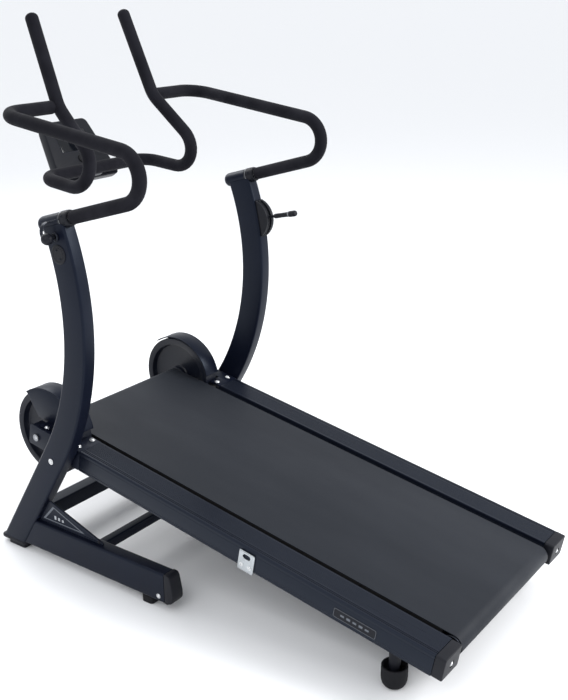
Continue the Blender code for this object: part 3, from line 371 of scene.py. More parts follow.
class Recipe:
    """One material: its Principled shader, and the nodes that feed it."""

    def __init__(self, name, colour, roughness, metallic=0.0, **fixed):
        self.material = bpy.data.materials.new(name)
        self.material.use_nodes = True
        self.tree = self.material.node_tree
        self.shader = self.tree.nodes["Principled BSDF"]
        self.colour = (*colour, 1.0)
        self.shader.inputs["Base Color"].default_value = self.colour
        self.shader.inputs["Roughness"].default_value = roughness
        self.shader.inputs["Metallic"].default_value = metallic
        for socket, value in fixed.items():
            self.shader.inputs[socket.replace("_", " ")].default_value = value

    def node(self, kind, settings, inputs):
        """Adds a node: its settings first, then a value or a link for each named or numbered socket."""
        made_node = self.tree.nodes.new(kind)
        for key, value in settings.items():
            if key == "stops":
                ramp = made_node.color_ramp
                for element, (position, shade) in zip(ramp.elements, value):
                    element.position = position
                    element.color = (shade, shade, shade, 1.0)
            else:
                setattr(made_node, key, value)
        for key, value in inputs.items():
            source = getattr(value, "socket", value)
            if isinstance(source, bpy.types.NodeSocket):
                self.tree.links.new(source, made_node.inputs[key])
            else:
                made_node.inputs[key].default_value = source
        return made_node

    def place(self, stretch=(1, 1, 1), turn=(0, 0, 0)):
        """The point on the piece, turned, then stretched."""
        where = self.node("ShaderNodeTexCoord", {}, {}).outputs["Object"]
        spun = self.node("ShaderNodeMapping", {"vector_type": "POINT"}, {"Vector": where, "Rotation": turn})
        return self.node("ShaderNodeMapping", {}, {"Vector": spun.outputs[0], "Scale": stretch}).outputs[0]

    def noise(self, scale, detail, stretch=(1, 1, 1), turn=(0, 0, 0)):
        found = self.node("ShaderNodeTexNoise", {}, {"Vector": self.place(stretch, turn), "Scale": scale,
                                                     "Detail": detail})
        return Amount(self, found.outputs["Fac"])

    def cells(self, scale):
        found = self.node("ShaderNodeTexVoronoi", {}, {"Vector": self.place(), "Scale": scale})
        return Amount(self, found.outputs["Distance"])

    def waves(self, scale, direction, turn):
        found = self.node("ShaderNodeTexWave", {"bands_direction": direction},
                          {"Vector": self.place(turn=turn), "Scale": scale})
        return Amount(self, found.outputs["Fac"])

    def stepped(self, amount, low, high):
        """Stretches the part of an amount between low and high to run from nought to one."""
        ramp = self.node("ShaderNodeValToRGB", {"stops": ((low, 0.0), (high, 1.0))}, {"Fac": amount})
        return Amount(self, ramp.outputs["Color"])

    def blend(self, amount, first, second):
        mix = self.node("ShaderNodeMix", {"data_type": "RGBA"}, {0: amount, 6: first, 7: second})
        return mix.outputs[2]

    def shade(self, amount, gain, lift=0.0):
        """Takes the base colour towards a lighter or darker one where an amount is high."""
        other = [channel * gain + lift for channel in self.colour[:3]]
        self.set("Base Color", self.blend(amount, self.colour, (*other, 1.0)))

    def set(self, socket, value):
        self.tree.links.new(getattr(value, "socket", value), self.shader.inputs[socket])

    def raise_by(self, height, distance, strength):
        bump = self.node("ShaderNodeBump", {}, {"Height": height, "Distance": distance, "Strength": strength})
        self.set("Normal", bump.outputs[0])


# %% [markdown]
# ## Powder coat
# The stand is steel tube, blasted and powder coated in a satin black that leans to navy. Powder flows as it melts,
# but never quite flat, so it keeps a faint orange peel. Handling leaves slightly duller patches and fine dust.


# %% Black powder coat
NAVY_SHEEN = (0.72, 0.84, 1.0, 1.0)


def powder_coat(name, colour, roughness):
    recipe = Recipe(name, colour, roughness, 0.0, Coat_Roughness=0.3, Specular_IOR_Level=0.16,
                    Specular_Tint=NAVY_SHEEN)
    peel = recipe.noise(420.0, 2.0)
    dust = recipe.stepped(recipe.noise(9.0, 5.0), 0.45, 0.75)
    speck = recipe.stepped(recipe.noise(1500.0, 1.0), 0.66, 0.74)
    recipe.shade(dust * 0.35 + speck * 0.25, 1.7, 0.002)
    recipe.set("Roughness", dust * 0.10 + peel * 0.06 + (roughness - 0.03))
    recipe.raise_by(peel + speck * 0.3, 0.0004, 0.35)
    return recipe.material


frame_coat = powder_coat("frame_powder_coat", (0.0040, 0.0055, 0.0125), 0.34)
print("finish:", frame_coat.name)

# %% [markdown]
# ## Rails, moulded plastic, rubber and foam
# The rail covers are ribbed mouldings that catch long streaks of light. Plain mouldings have a fine spark-eroded
# grain. Rubber is duller, with a slight bloom. The grips are closed-cell foam: soft dimples under a thin skin.


# %% Streaked rail finish
def streaked(name, colour, roughness):
    recipe = Recipe(name, colour, roughness, 0.0, Specular_IOR_Level=0.24, Specular_Tint=NAVY_SHEEN)
    turn = (-slope, 0, 0)
    streak = recipe.noise(260.0, 4.0, (1.0, 0.012, 1.0), turn)
    patch = recipe.stepped(recipe.noise(4.0, 4.0, (2.0, 0.5, 1.0), turn), 0.35, 0.7)
    recipe.shade(streak * 0.45 + patch * 0.12, 2.1, 0.003)
    recipe.set("Roughness", streak * 0.22 + patch * 0.07 + (roughness - 0.12))
    recipe.raise_by(streak, 0.0002, 0.4)
    return recipe.material


def grained(name, colour, roughness, scale=1300.0, depth=0.00012):
    recipe = Recipe(name, colour, roughness, 0.0, Specular_IOR_Level=0.20)
    grain = recipe.cells(scale)
    cloud = recipe.noise(22.0, 4.0)
    recipe.shade(cloud * 0.5, 1.6, 0.002)
    recipe.set("Roughness", grain * 0.12 + cloud * 0.10 + (roughness - 0.09))
    recipe.raise_by(grain, depth, 0.6)
    return recipe.material


def foamed(name, colour):
    recipe = Recipe(name, colour, 0.82, 0.0, Sheen_Weight=0.02, Sheen_Roughness=0.45, Specular_IOR_Level=0.14)
    pores = recipe.cells(950.0)
    dimple = recipe.noise(120.0, 3.0)
    wear = recipe.stepped(recipe.noise(14.0, 4.0), 0.42, 0.68)
    recipe.shade(wear * 0.5 + dimple * 0.3, 1.9, 0.003)
    recipe.set("Roughness", 0.9 - wear * 0.12)
    recipe.raise_by(pores * 0.7 + dimple * 0.9, 0.0006, 0.5)
    return recipe.material


rail_look = streaked("rail_finish", (0.0032, 0.0044, 0.0092), 0.30)
plastic_look = grained("moulded_black", (0.0055, 0.0062, 0.0095), 0.46)
gloss_plastic_look = grained("smooth_black_moulding", (0.0042, 0.0050, 0.0085), 0.40, 2200.0, 0.00004)
rubber_look = grained("soft_black_rubber", (0.0060, 0.0062, 0.0080), 0.72, 700.0, 0.0002)
foam_look = foamed("foam_grip", (0.0050, 0.0050, 0.0080))
print("finishes:", [look.name for look in (rail_look, plastic_look, gloss_plastic_look, rubber_look, foam_look)])

# %% [markdown]
# ## The running belt
# A treadmill belt is woven polyester faced with PVC. The facing is embossed with a fine lattice for grip. Two
# crossed sets of waves give the lattice, and a slow noise gives the faint polish where feet land.

# %% Belt facing
belt = Recipe("belt_facing", (0.011, 0.013, 0.018), 0.62, 0.0, Specular_IOR_Level=0.24)
one_way = belt.waves(110.0, "X", (-slope, 0, math.radians(45)))
other_way = belt.waves(110.0, "Y", (-slope, 0, math.radians(45)))
lattice = one_way * other_way
tread = belt.stepped(belt.noise(3.2, 4.0, (2.2, 0.7, 1.0)), 0.38, 0.72)
fleck = belt.stepped(belt.noise(900.0, 1.0), 0.60, 0.70)
belt.set("Base Color", belt.blend(lattice * 0.35 + tread * 0.30 + fleck * 0.2, (0.0085, 0.0108, 0.0160, 1),
                                  (0.0185, 0.0220, 0.0300, 1)))
belt.set("Roughness", 0.66 - tread * 0.10 - lattice * 0.05)
belt.raise_by(lattice + fleck * 0.2, 0.0003, 0.5)
belt_look = belt.material
print("finish:", belt_look.name)

# %% [markdown]
# ## Bare metal
# Bolts and the catch plate are zinc plated: bright, with a slightly cloudy crystal. Turned steel shows rings or
# brushing. The wheels are cast iron with a thick black paint, a little lumpy over the sand-cast skin.


# %% Plated, brushed and cast metal
def plated(name, colour, roughness, scale=180.0):
    recipe = Recipe(name, colour, roughness, 1.0)
    cloud = recipe.noise(scale, 4.0)
    scratch = recipe.noise(900.0, 2.0, (1.0, 0.03, 1.0))
    recipe.shade(cloud * 0.7, 0.72)
    recipe.set("Roughness", cloud * 0.14 + scratch * 0.10 + (roughness - 0.08))
    recipe.raise_by(scratch, 0.00006, 0.3)
    return recipe.material


def cast(name, colour):
    recipe = Recipe(name, colour, 0.36, 0.0, Specular_IOR_Level=0.25)
    lump = recipe.noise(160.0, 4.0)
    fine = recipe.noise(900.0, 2.0)
    recipe.shade(lump * 0.4, 1.8, 0.002)
    recipe.set("Roughness", lump * 0.16 + 0.26)
    recipe.raise_by(lump + fine * 0.3, 0.0006, 0.4)
    return recipe.material


bolt_look = plated("zinc_bolt", (0.78, 0.79, 0.80), 0.24)
zinc_look = plated("zinc_sheet", (0.52, 0.55, 0.57), 0.36, 60.0)
steel_look = plated("turned_steel", (0.30, 0.31, 0.33), 0.36)
blacked_look = plated("blacked_steel", (0.030, 0.033, 0.042), 0.38)
iron_look = cast("painted_cast_iron", (0.0050, 0.0065, 0.0120))
print("finishes:", [look.name for look in (bolt_look, zinc_look, steel_look, iron_look)])

# %% [markdown]
# ## Board, window and print
# The deck board is fibreboard with a dark phenolic face. The console has a smoked window. Printed lines are a thin
# silver or grey ink.

# %% The last finishes
board = Recipe("deck_board_face", (0.012, 0.012, 0.013), 0.6, 0.0, Specular_IOR_Level=0.2)
fibre = board.noise(240.0, 5.0, (1.0, 0.4, 3.0))
board.set("Base Color", board.blend(fibre, (0.008, 0.008, 0.009, 1), (0.018, 0.017, 0.017, 1)))
board.raise_by(fibre, 0.0002, 0.4)
board_look = board.material

window = Recipe("smoked_window_face", (0.0045, 0.0055, 0.0080), 0.12, 0.0, Specular_IOR_Level=0.25)
smear = window.noise(18.0, 4.0)
window.set("Roughness", smear * 0.10 + 0.04)
window_look = window.material

ink = Recipe("silver_ink", (0.42, 0.44, 0.47), 0.42, 0.3)
rub = ink.stepped(ink.noise(300.0, 4.0), 0.25, 0.5)
ink.set("Base Color", ink.blend(rub, (0.20, 0.21, 0.23, 1), (0.44, 0.46, 0.49, 1)))
ink_look = ink.material
faint = Recipe("grey_ink", (0.10, 0.115, 0.135), 0.5)
faint.set("Base Color", faint.blend(faint.noise(300.0, 4.0), (0.07, 0.08, 0.10, 1), (0.14, 0.155, 0.18, 1)))
faint_look = faint.material
print("finishes:", board_look.name, window_look.name, ink_look.name)

# %% [markdown]
# ## One button-head screw, copied everywhere
# Every screw on the machine is the same kind: a low dome with a hexagonal socket, on a plain washer. It is turned
# once from a short profile and the socket is cut with a six-sided bar. Each copy gets its own mesh.


# %% The master screw
def draw_screw():
    profile = [(0, 0), (1.45, 0), (1.5, 0.06), (1.5, 0.2), (1.45, 0.26), (1.0, 0.26), (1.0, 0.36), (0.97, 0.52),
               (0.86, 0.70), (0.70, 0.82), (0.50, 0.88), (0, 0.9)]
    screw = turned(profile, ORIGIN, UPWARD, 32)
    nothing_selected()
    bpy.ops.mesh.primitive_cylinder_add(vertices=6, radius=0.46, depth=1.0, location=(0, 0, 0.95))
    hexagon = bpy.context.object
    cut_with(screw, hexagon)
    return screw


master_screw = draw_screw()
print("screw:", len(master_screw.data.polygons), "faces")


def screws(places, radius, lift=1.0):
    """Copies of the master screw at (point, direction) places, joined as one piece. Lift flattens the dome."""
    copies = []
    for point, direction in places:
        make_active(master_screw)
        bpy.ops.object.duplicate(linked=False)
        copy = bpy.context.object
        copy.rotation_euler = Vector(direction).to_track_quat("Z", "Y").to_euler()
        copy.location = point
        copy.scale = (radius, radius, radius * lift)
        bpy.ops.object.transform_apply(location=True, rotation=True, scale=True)
        copies.append(copy)
    return joined(copies)


# %% [markdown]
# ## The uprights
# Each upright is one box tube: a straight leg that leans back as it rises, then a long even bend forwards. A tube
# bender pushes the tube straight and then round a former, so the section is drawn once at the top, spun about the
# centre of the bend, and pushed down the leg. The foot is cut level, and the top is saddled to fit its sleeve.

# %% Upright tubes
tube_depth = 0.0675
tube_width = tube_out - tube_in
lean = math.radians(32.2)
bend_radius = 0.6327
pad_top = from_stand("upright_right", 0).z
leg = Vector((0, -math.sin(lean), math.cos(lean)))
fold_point = Vector((0, 0, pivot_height))
bend_centre = fold_point + leg * 0.0195 + Vector((0, math.cos(lean), math.sin(lean))) * bend_radius


def turn_at(height):
    """How far round the bend a height is: the lean at the bottom, negative near the top."""
    return math.asin((bend_centre.z - height) / bend_radius)


def on_bend(height, offset=0.0):
    """A point of the bend at a height, moved out from the bend's centre, and its outward direction."""
    turn = turn_at(height)
    outward = -Vector((0, math.cos(turn), math.sin(turn)))
    return bend_centre + outward * (bend_radius + offset), outward


sleeve_rise = math.radians(16.4)
sleeve_back = Vector((0, -math.cos(sleeve_rise), math.sin(sleeve_rise)))
sleeve_middle, top_outward = on_bend(0.870)
top_turn = turn_at(0.870)


def draw_box_section(centre, across, width, depth, corner):
    """A rectangle with round corners, square to the tube's run."""
    nothing_selected()
    bpy.ops.mesh.primitive_plane_add(size=1, location=(0, 0, 0))
    edit_all()
    bpy.ops.transform.resize(value=(width, depth, 1))
    bpy.ops.mesh.bevel(affect="VERTICES", offset=corner, segments=5)
    bpy.ops.object.mode_set(mode="OBJECT")
    section = bpy.context.object
    section.matrix_world = Matrix.Translation(centre) @ Matrix.Rotation(across, 4, "X")
    bpy.ops.object.transform_apply(location=True, rotation=True, scale=True)
    edit_all()


def draw_upright():
    centre = sleeve_middle + Vector((tube_x, 0, 0))
    draw_box_section(centre, top_turn, tube_width, tube_depth, 0.006)
    bpy.ops.mesh.spin(steps=36, angle=-(lean - top_turn), center=bend_centre, axis=ACROSS)
    push(-leg * 0.40)


upright = drawn(draw_upright)
edit_all()
bpy.ops.mesh.bisect(plane_co=(0, 0, pad_top), plane_no=(0, 0, 1), use_fill=True, clear_inner=True)
bpy.ops.object.mode_set(mode="OBJECT")
nothing_selected()
bpy.ops.mesh.primitive_cylinder_add(vertices=64, radius=0.0193, depth=0.14,
                                    location=sleeve_middle + Vector((tube_x, 0, 0)),
                                    rotation=sleeve_back.to_track_quat("Z", "Y").to_euler())
saddle = bpy.context.object
cut_with(upright, saddle)
finish_pair("upright_tube", "stand", frame_coat, replaces=["upright_SIDE"])
print("uprights: bend radius", bend_radius)

# %% [markdown]
# ## Floor tubes, caps and pads
# The floor tubes are the same box tube laid flat and mitred to the back of each leg. A moulded cap with a bevelled
# heel closes the back. Under each upright a foot moulding closes the leg, with a sole that takes the load.

# %% Floor tubes
floor_low = from_stand("floor_tube_right", 0)
floor_high = from_stand("floor_tube_right", 1)
floor_middle = Vector((tube_x, floor_low.y, (floor_low.z + floor_high.z) / 2))
leg_face = Vector((0, -math.cos(lean), -math.sin(lean)))
leg_back = fold_point + leg_face * (tube_depth / 2 + GAP)


def draw_floor_tube():
    draw_box_section(floor_middle, math.radians(90), tube_width, floor_high.z - floor_low.z, 0.006)
    push((0, 0.56, 0))


drawn(draw_floor_tube)
edit_all()
bpy.ops.mesh.bisect(plane_co=leg_back, plane_no=leg_face, use_fill=True, clear_inner=True)
finish_pair("floor_rail", "stand", frame_coat, replaces=["floor_tube_SIDE"])
print("floor tube:", round(floor_high.y - floor_low.y, 3), "m long")

# %% Rear caps
cap_front = floor_low.y - GAP
cap_length = 0.0266
cap_tall = floor_high.z - floor_low.z
cap_outline = [(0.0, 0.0), (0.30, 0.0), (0.74, 0.07), (0.93, 0.15), (1.0, 0.26), (0.98, 0.40), (0.72, 0.88),
               (0.62, 0.95), (0.48, 0.99), (0.34, 1.0), (0.0, 1.0)]
draw_plate([(tube_in, cap_front - back * cap_length, floor_low.z + up * cap_tall) for back, up in cap_outline],
           (tube_width, 0, 0))
bevel_edges(0.0022, 3, 50)
finish_pair("tube_heel", "stand", plastic_look, replaces=["rear_end_cap_SIDE"])
print("rear cap:", cap_length, "m long")

# %% Foot mouldings and pads
sole_low = from_stand("front_foot_cap_right", 0)
sole_high = from_stand("front_foot_cap_right", 1)


def draw_pad(x_range, y_range, z_range, corner):
    """A block with round corners, drawn as a filled section and pushed up."""
    centre = Vector(((x_range[0] + x_range[1]) / 2, (y_range[0] + y_range[1]) / 2, z_range[0]))
    draw_box_section(centre, 0.0, x_range[1] - x_range[0], y_range[1] - y_range[0], corner)
    push((0, 0, z_range[1] - z_range[0]))


flange_low = pad_top - 0.0095
drawn(draw_pad, (tube_in, tube_out), (sole_low.y, sole_high.y), (flange_low, pad_top - GAP), 0.011)
bevel_edges(0.0030, 4, 50)
flange = bpy.context.object
sole_middle = math.tan(lean) * (pivot_height - pad_top)
drawn(draw_pad, (tube_x - 0.015, tube_x + 0.015), (sole_middle - 0.034, sole_middle + 0.026),
      (0.0, flange_low + 0.001), 0.006)
bevel_edges(0.0016, 3, 50)
joined([flange, bpy.context.object])
finish_pair("foot_moulding", "stand", plastic_look, replaces=["front_foot_cap_SIDE"])

pad_low = from_stand("rear_pad_right", 0)
pad_high = from_stand("rear_pad_right", 1)
drawn(draw_pad, (pad_low.x, pad_high.x), (pad_low.y, pad_high.y), (0.0, pad_high.z), 0.008)
bevel_edges(0.0020, 3, 50)
finish_pair("floor_pad", "stand", rubber_look, replaces=["rear_pad_SIDE"])
print("feet and pads placed")

# %% [markdown]
# ## Gussets
# A pressed triangle stiffens the corner between each leg and its floor tube. Its border is a raised rim and a
# rivet holds its tip. The plate carries a printed outline of a triangle with three plain bars in it.

# %% Gusset plates
gusset_low = from_stand("gusset_right", 0)
gusset_high = from_stand("gusset_right", 1)
leg_slope = math.tan(lean)


def leg_back_at(height):
    """Where the back of the leg is at a height."""
    return -(height - pivot_height) * leg_slope - tube_depth / 2 / math.cos(lean)


corner_low = Vector((gusset_low.x, leg_back_at(gusset_low.z) - GAP, gusset_low.z))
corner_top = Vector((gusset_low.x, leg_back_at(gusset_high.z) - GAP, gusset_high.z))
tip = Vector((gusset_low.x, gusset_low.y, gusset_low.z))
plate = gusset_high.x - gusset_low.x


def draw_gusset():
    outline = [corner_low, corner_top, corner_top + Vector((0, -0.008, 0)), tip + Vector((0, 0.004, 0.0085)),
               tip + Vector((0, 0, 0.005)), tip]
    draw_plate(outline, (plate * 0.6, 0, 0))
    bpy.ops.mesh.inset(thickness=0.0055)


drawn(draw_gusset)
bpy.ops.object.mode_set(mode="EDIT")
bpy.ops.mesh.select_mode(type="FACE")
bpy.ops.mesh.select_all(action="DESELECT")
bpy.ops.object.mode_set(mode="OBJECT")
gusset = bpy.context.object
outer_x = gusset_low.x + plate * 0.6
for face in gusset.data.polygons:
    middle = gusset.matrix_world @ face.center
    face.select = abs(middle.x - outer_x) < 1e-5 and len(face.vertices) == 4
bpy.ops.object.mode_set(mode="EDIT")
push((plate * 0.4, 0, 0))
bpy.ops.mesh.select_mode(type="VERT")
bevel_edges(0.0006, 2, 40)
finish_pair("gusset_plate", "stand", frame_coat, replaces=["gusset_SIDE"])
rivets = screws([(tip + Vector((plate * 0.95, 0.012, 0.006)), ACROSS)], 0.0032)
finish_pair("gusset_rivet", "stand", plastic_look)

# %% Printed triangle
label_x = outer_x + 0.0001
label = [corner_low + Vector((0, -0.016, 0.0105)), corner_top + Vector((0, -0.0125, -0.0135)),
         tip + Vector((0, 0.062, 0.0105))]
label = [Vector((label_x, corner.y, corner.z)) for corner in label]
draw_plate(label, (0.00025, 0, 0))
bpy.ops.mesh.select_all(action="SELECT")
bpy.ops.object.mode_set(mode="OBJECT")
sheet = bpy.context.object
middle = sum(label, Vector()) / 3
draw_plate([middle + (corner - middle) * 0.86 for corner in label], (0.0008, 0, 0))
bpy.ops.mesh.select_all(action="SELECT")
bpy.ops.transform.translate(value=(-0.0002, 0, 0))
bpy.ops.mesh.normals_make_consistent(inside=False)
bpy.ops.object.mode_set(mode="OBJECT")
inner = bpy.context.object
cut_with(sheet, inner)
finish_pair("gusset_label", "stand", faint_look)
bars = []
for index in range(3):
    low = middle + Vector((0, 0.020 - 0.013 * index, -0.006))
    draw_plate([low, low + Vector((0, -0.006, 0)), low + Vector((0, -0.006, 0.010 - 0.002 * index)),
                low + Vector((0, 0, 0.010 - 0.002 * index))], (0.00025, 0, 0))
    bpy.ops.object.mode_set(mode="OBJECT")
    bars.append(bpy.context.object)
joined(bars)
finish_pair("gusset_bars", "stand", ink_look)
print("gussets:", round(gusset_high.y - gusset_low.y, 3), "m along the floor tube")

# %% [markdown]
# ## Cross bars and their welds
# A square tube joins the uprights low at the front and a thinner one joins the floor tubes behind. Each end is
# welded all round, which leaves a small rippled bead. The bead is a ring pressed square and rippled by a few
# turned points.


# %% Cross bars
def draw_bar(size, y, z, half, corner):
    nothing_selected()
    bpy.ops.mesh.primitive_plane_add(size=1, location=(0, 0, 0))
    edit_all()
    bpy.ops.transform.resize(value=(size, size, 1))
    bpy.ops.mesh.bevel(affect="VERTICES", offset=corner, segments=5)
    bpy.ops.transform.rotate(value=math.radians(90), orient_axis="Y", center_override=(0, 0, 0))
    bpy.ops.transform.translate(value=(-half, y, z))
    push((2 * half, 0, 0))


def weld_bead(size, y, z, x):
    """A bead round a square bar where it meets the tube's flat side."""
    steps = 96
    ring = []
    for step in range(steps):
        turn = 2 * math.pi * step / steps
        reach = 1 / max(abs(math.cos(turn)), abs(math.sin(turn)))
        reach = min(reach, 1.30) * (size / 2 + 0.0006 + 0.0003 * math.sin(step * 1.7))
        ring.append((x, y + reach * math.cos(turn), z + reach * math.sin(turn)))
    return bead(ring + [ring[0]], 0.0018, 3)


front_bar = Vector((0, (pivot_height - 0.080) * leg_slope, 0.080))
rear_bar = Vector((0, -0.115, 0.0755))
bar_half = tube_in - GAP
for title, size, centre, node in (("front_cross_tube", 0.040, front_bar, "front_crossbar"),
                                  ("rear_cross_tube", 0.025, rear_bar, "rear_crossbar")):
    drawn(draw_bar, size, centre.y, centre.z, bar_half, 0.004)
    finish(title, "stand", frame_coat, replaces=[node])
    weld_bead(size, centre.y, centre.z, tube_in - 0.0012)
    finish_pair(title + "_weld", "stand", frame_coat)
print("cross bars:", round(2 * bar_half, 4), "m between the uprights")

# %% [markdown]
# ## Sleeves and collars
# A short round tube is welded across the top of each upright, closed at its front by a pressed dome. The handle
# slides in from behind through a moulded collar. A thin bright steel ring on the collar is a painted highlight: it
# stands in for the highlight along the sleeve's rear edge.

# %% Sleeves and collars
side_step = Vector((tube_x, 0, 0))
SLEEVE = (STAND @ Matrix.Translation(sleeve_middle + side_step)
          @ sleeve_back.to_track_quat("Z", "Y").to_matrix().to_4x4())
sleeve_profile = [(0, -0.0500), (0.006, -0.0497), (0.0105, -0.0487), (0.0140, -0.0468), (0.0163, -0.0440),
                  (0.0176, -0.0400), (0.0180, -0.0350), (0.0180, 0.0214), (0.0174, 0.0220), (0.0160, 0.0220),
                  (0.0160, 0.0180), (0, 0.0180)]
turned(sleeve_profile, ORIGIN, UPWARD, 64)
finish_pair("top_sleeve", "stand", frame_coat, place=SLEEVE, replaces=["sleeve_SIDE"])

collar_profile = [(0.0130, 0.0223), (0.0183, 0.0223), (0.0188, 0.0230), (0.0188, 0.0262), (0.0181, 0.0270),
                  (0.0181, 0.0280), (0.0188, 0.0288), (0.0188, 0.0400), (0.0184, 0.0460), (0.0176, 0.0492),
                  (0.0160, 0.0503), (0.0130, 0.0503), (0.0130, 0.0223)]
turned(collar_profile, ORIGIN, UPWARD, 64)
finish_pair("handle_collar", "stand", plastic_look, place=SLEEVE, replaces=["collar_SIDE"])
# Painted highlight: a thin bright steel ring in the collar's groove, standing in for the highlight along the sleeve's
# rear edge.
highlight_ring_profile = [(0.01815, 0.0268), (0.0192, 0.0270), (0.0193, 0.0275), (0.0192, 0.0280), (0.01815, 0.0282),
                (0.01815, 0.0268)]
turned(highlight_ring_profile, ORIGIN, UPWARD, 64)
finish_pair("collar_ring", "stand", steel_look, place=SLEEVE)
screws([((side * 0.0165, 0.0085, 0.036), (side, 0.52, 0)) for side in (-1, 1)], 0.0022)
finish_pair("collar_screws", "stand", blacked_look, place=SLEEVE)
print("sleeves and collars at", [round(value, 3) for value in sleeve_middle])


# %% Weld round the saddle
def saddle_weld(side):
    """A bead along one side of the sleeve where it sits in the saddle."""
    run = [(0.0184, 0.0030 + 0.0004 * math.sin(step * 2.2), -0.030 + 0.060 * step / 24) for step in range(25)]
    seam = bead(run, 0.0016, 2, caps=True)
    seam.scale.x = side
    bpy.ops.object.transform_apply(location=True, rotation=True, scale=True)
    return seam


seams = [saddle_weld(side) for side in (-1, 1)]
joined(seams)
finish_pair("sleeve_weld", "stand", frame_coat, place=SLEEVE)

# %% [markdown]
# ## Handles and horns
# Each side handle is one bent tube: out of the sleeve, up and back, round a tight bend, then forward to the horn.
# The two horns are a second bar, bent like a wide U. Both wear closed-cell foam, pushed on with compressed air,
# so it follows every bend. The foam's ends are softly rounded.

# %% Side grips
handle_low = math.radians(7.3)
handle_rear = sleeve_middle + sleeve_back * 0.4888
handle_front = handle_rear + Vector((0, math.cos(handle_low), math.sin(handle_low))) * 0.6327
grip_start = sleeve_middle + sleeve_back * 0.0506 + side_step
foam_radius = 0.0155


def draw_side_grip():
    start = grip_start + sleeve_back * 0.003
    corners = [start, handle_rear + side_step, handle_front + side_step,
               Vector((0.1735, handle_front.y, handle_front.z))]
    draw_tube(corners, (0.056, 0.055), foam_radius, 32, 18)
    close_holes()


drawn(draw_side_grip)
bevel_edges(0.0035, 4, 60)
grip, other_grip = finish_pair("side_grip", "stand", foam_look, replaces=["handle_grip_SIDE"], smooth=50)
print("side grips:", len(grip.data.polygons), "faces each")

# %% Horn grip
tip_depth = 0.0125
horn_bottom = Vector((0, 0.0453, -0.167))
horn_half = [(0.150, (0.0716, 0.1936)), (0.160, (-0.007, 0.0)), (0.187, (-0.214, -0.1926)),
             (0.178, (horn_bottom.y, horn_bottom.z))]
horn_left = [Vector((-x, handle_front.y + y, handle_front.z + z)) for x, (y, z) in horn_half]
horn_right = [Vector((-point.x, point.y, point.z)) for point in reversed(horn_left)]
horn_corners = horn_left + horn_right


def draw_horn_grip():
    first = (horn_corners[1] - horn_corners[0]).normalized()
    last = (horn_corners[-2] - horn_corners[-1]).normalized()
    draw_tube(horn_corners, (0.080, 0.0538, 0.042, 0.042, 0.0538, 0.080), foam_radius, 32, 14)
    close_round(horn_corners[-1], -last, tip_depth)
    bpy.ops.mesh.select_all(action="DESELECT")
    bpy.ops.mesh.select_mode(type="EDGE")
    bpy.ops.mesh.select_non_manifold()
    bpy.ops.mesh.select_mode(type="VERT")
    close_round(horn_corners[0], -first, tip_depth)


drawn(draw_horn_grip)
horn = finish("horn_foam", "stand", foam_look, replaces=["horn_grip"], smooth=50)
print("horn foam:", len(horn.data.polygons), "faces")

# %% [markdown]
# ## Console
# The console is a plain wedge-shaped case on a short saddle bracket. Its face is smooth, with a smoked window set
# flush and one round button under it. The case could be vacuum formed, but moulding gives its even wall and its
# screw posts.

# %% Console case
console_tilt = math.radians(57.3)
up = Vector((0, math.cos(console_tilt), math.sin(console_tilt)))
out = Vector((0, -math.sin(console_tilt), math.cos(console_tilt)))
CONSOLE = (STAND @ Matrix.Translation(handle_front + horn_bottom - out * 0.033 - up * 0.0131)
           @ Matrix.Rotation(console_tilt, 4, "X"))
button_up = 0.055


def draw_case():
    outline = [(0.102, 0, 0), (0.074, 0.163, 0), (-0.074, 0.163, 0), (-0.102, 0, 0)]
    draw_rounded(outline, 0.013, 7, (0, 0, -0.020))
    push((0, 0, -0.014))
    bpy.ops.transform.resize(value=(0.90, 0.88, 1), center_override=(0, 0.0815, -0.034))


def draw_block(low, high):
    low = Vector(low)
    high = Vector(high)
    draw_plate([(x, y, low.z) for x, y in rectangle(low, high)], (0, 0, high.z - low.z))


def draw_window(grow, low, high):
    corners = rectangle((-0.052 - grow, 0.078 - grow), (0.052 + grow, 0.136 + grow))
    draw_rounded([(x, y, low) for x, y in corners], 0.005, 5, (0, 0, high - low))


drawn(draw_case)
bevel_edges(0.0030, 4, 40)
case = bpy.context.object
cut_with(case, drawn(draw_window, GAP, -0.0026, 0.01))
button_well = [(0, -0.0075), (0.0115, -0.0075), (0.0115, 0.01), (0, 0.01)]
cut_with(case, turned(button_well, (0, button_up, 0), steps=48))
finish("console_shell", "stand", gloss_plastic_look, place=CONSOLE, replaces=["console_case"])
drawn(draw_window, 0.0, -0.0024, -0.0001)
bevel_edges(0.0004, 2, 50)
finish("smoked_window", "stand", window_look, place=CONSOLE, replaces=["console_window"])
button_profile = [(0, -0.005), (0.0108, -0.005), (0.0110, -0.0048), (0.0110, 0.0018), (0.0106, 0.0026),
                  (0.0096, 0.0030), (0.0086, 0.0028), (0.0050, 0.0022), (0, 0.0020)]
turned(button_profile, (0, button_up, 0), steps=48)
finish("round_button", "mode_button", rubber_look, place=CONSOLE, replaces=["mode_button"])
drawn(draw_block, (-0.030, 0.002, GAP), (0.030, 0.024, 0.0172))
bevel_edges(0.0025, 3, 40)
finish("saddle_bracket", "stand", frame_coat, place=CONSOLE, replaces=["console_bracket"])
screws([((x, y, -0.0339), (0, 0, -1)) for half, y in ((0.074, 0.020), (0.055, 0.132)) for x in (-half, half)],
       0.0030)
finish("case_screws", "stand", blacked_look, place=CONSOLE)


# %% A fine line round the window
def frame_line(grow, width, height):
    """A thin raised frame drawn as a plate with its middle cut out."""
    rim = drawn(draw_window, grow + width, 0.0, height)
    cut_with(rim, drawn(draw_window, grow, -0.001, height + 0.001))


frame_line(0.0012, 0.0009, 0.0002)
finish("window_line", "stand", blacked_look, place=CONSOLE)
print("console:", 0.204, "m wide at the foot")

# %% [markdown]
# ## Folding latch
# When the deck is folded up, a spring pin in the left upright drops into a slot on the deck's catch plate. The
# pin has a ball to pull. A bent strap beside it keeps a knee off the ball.

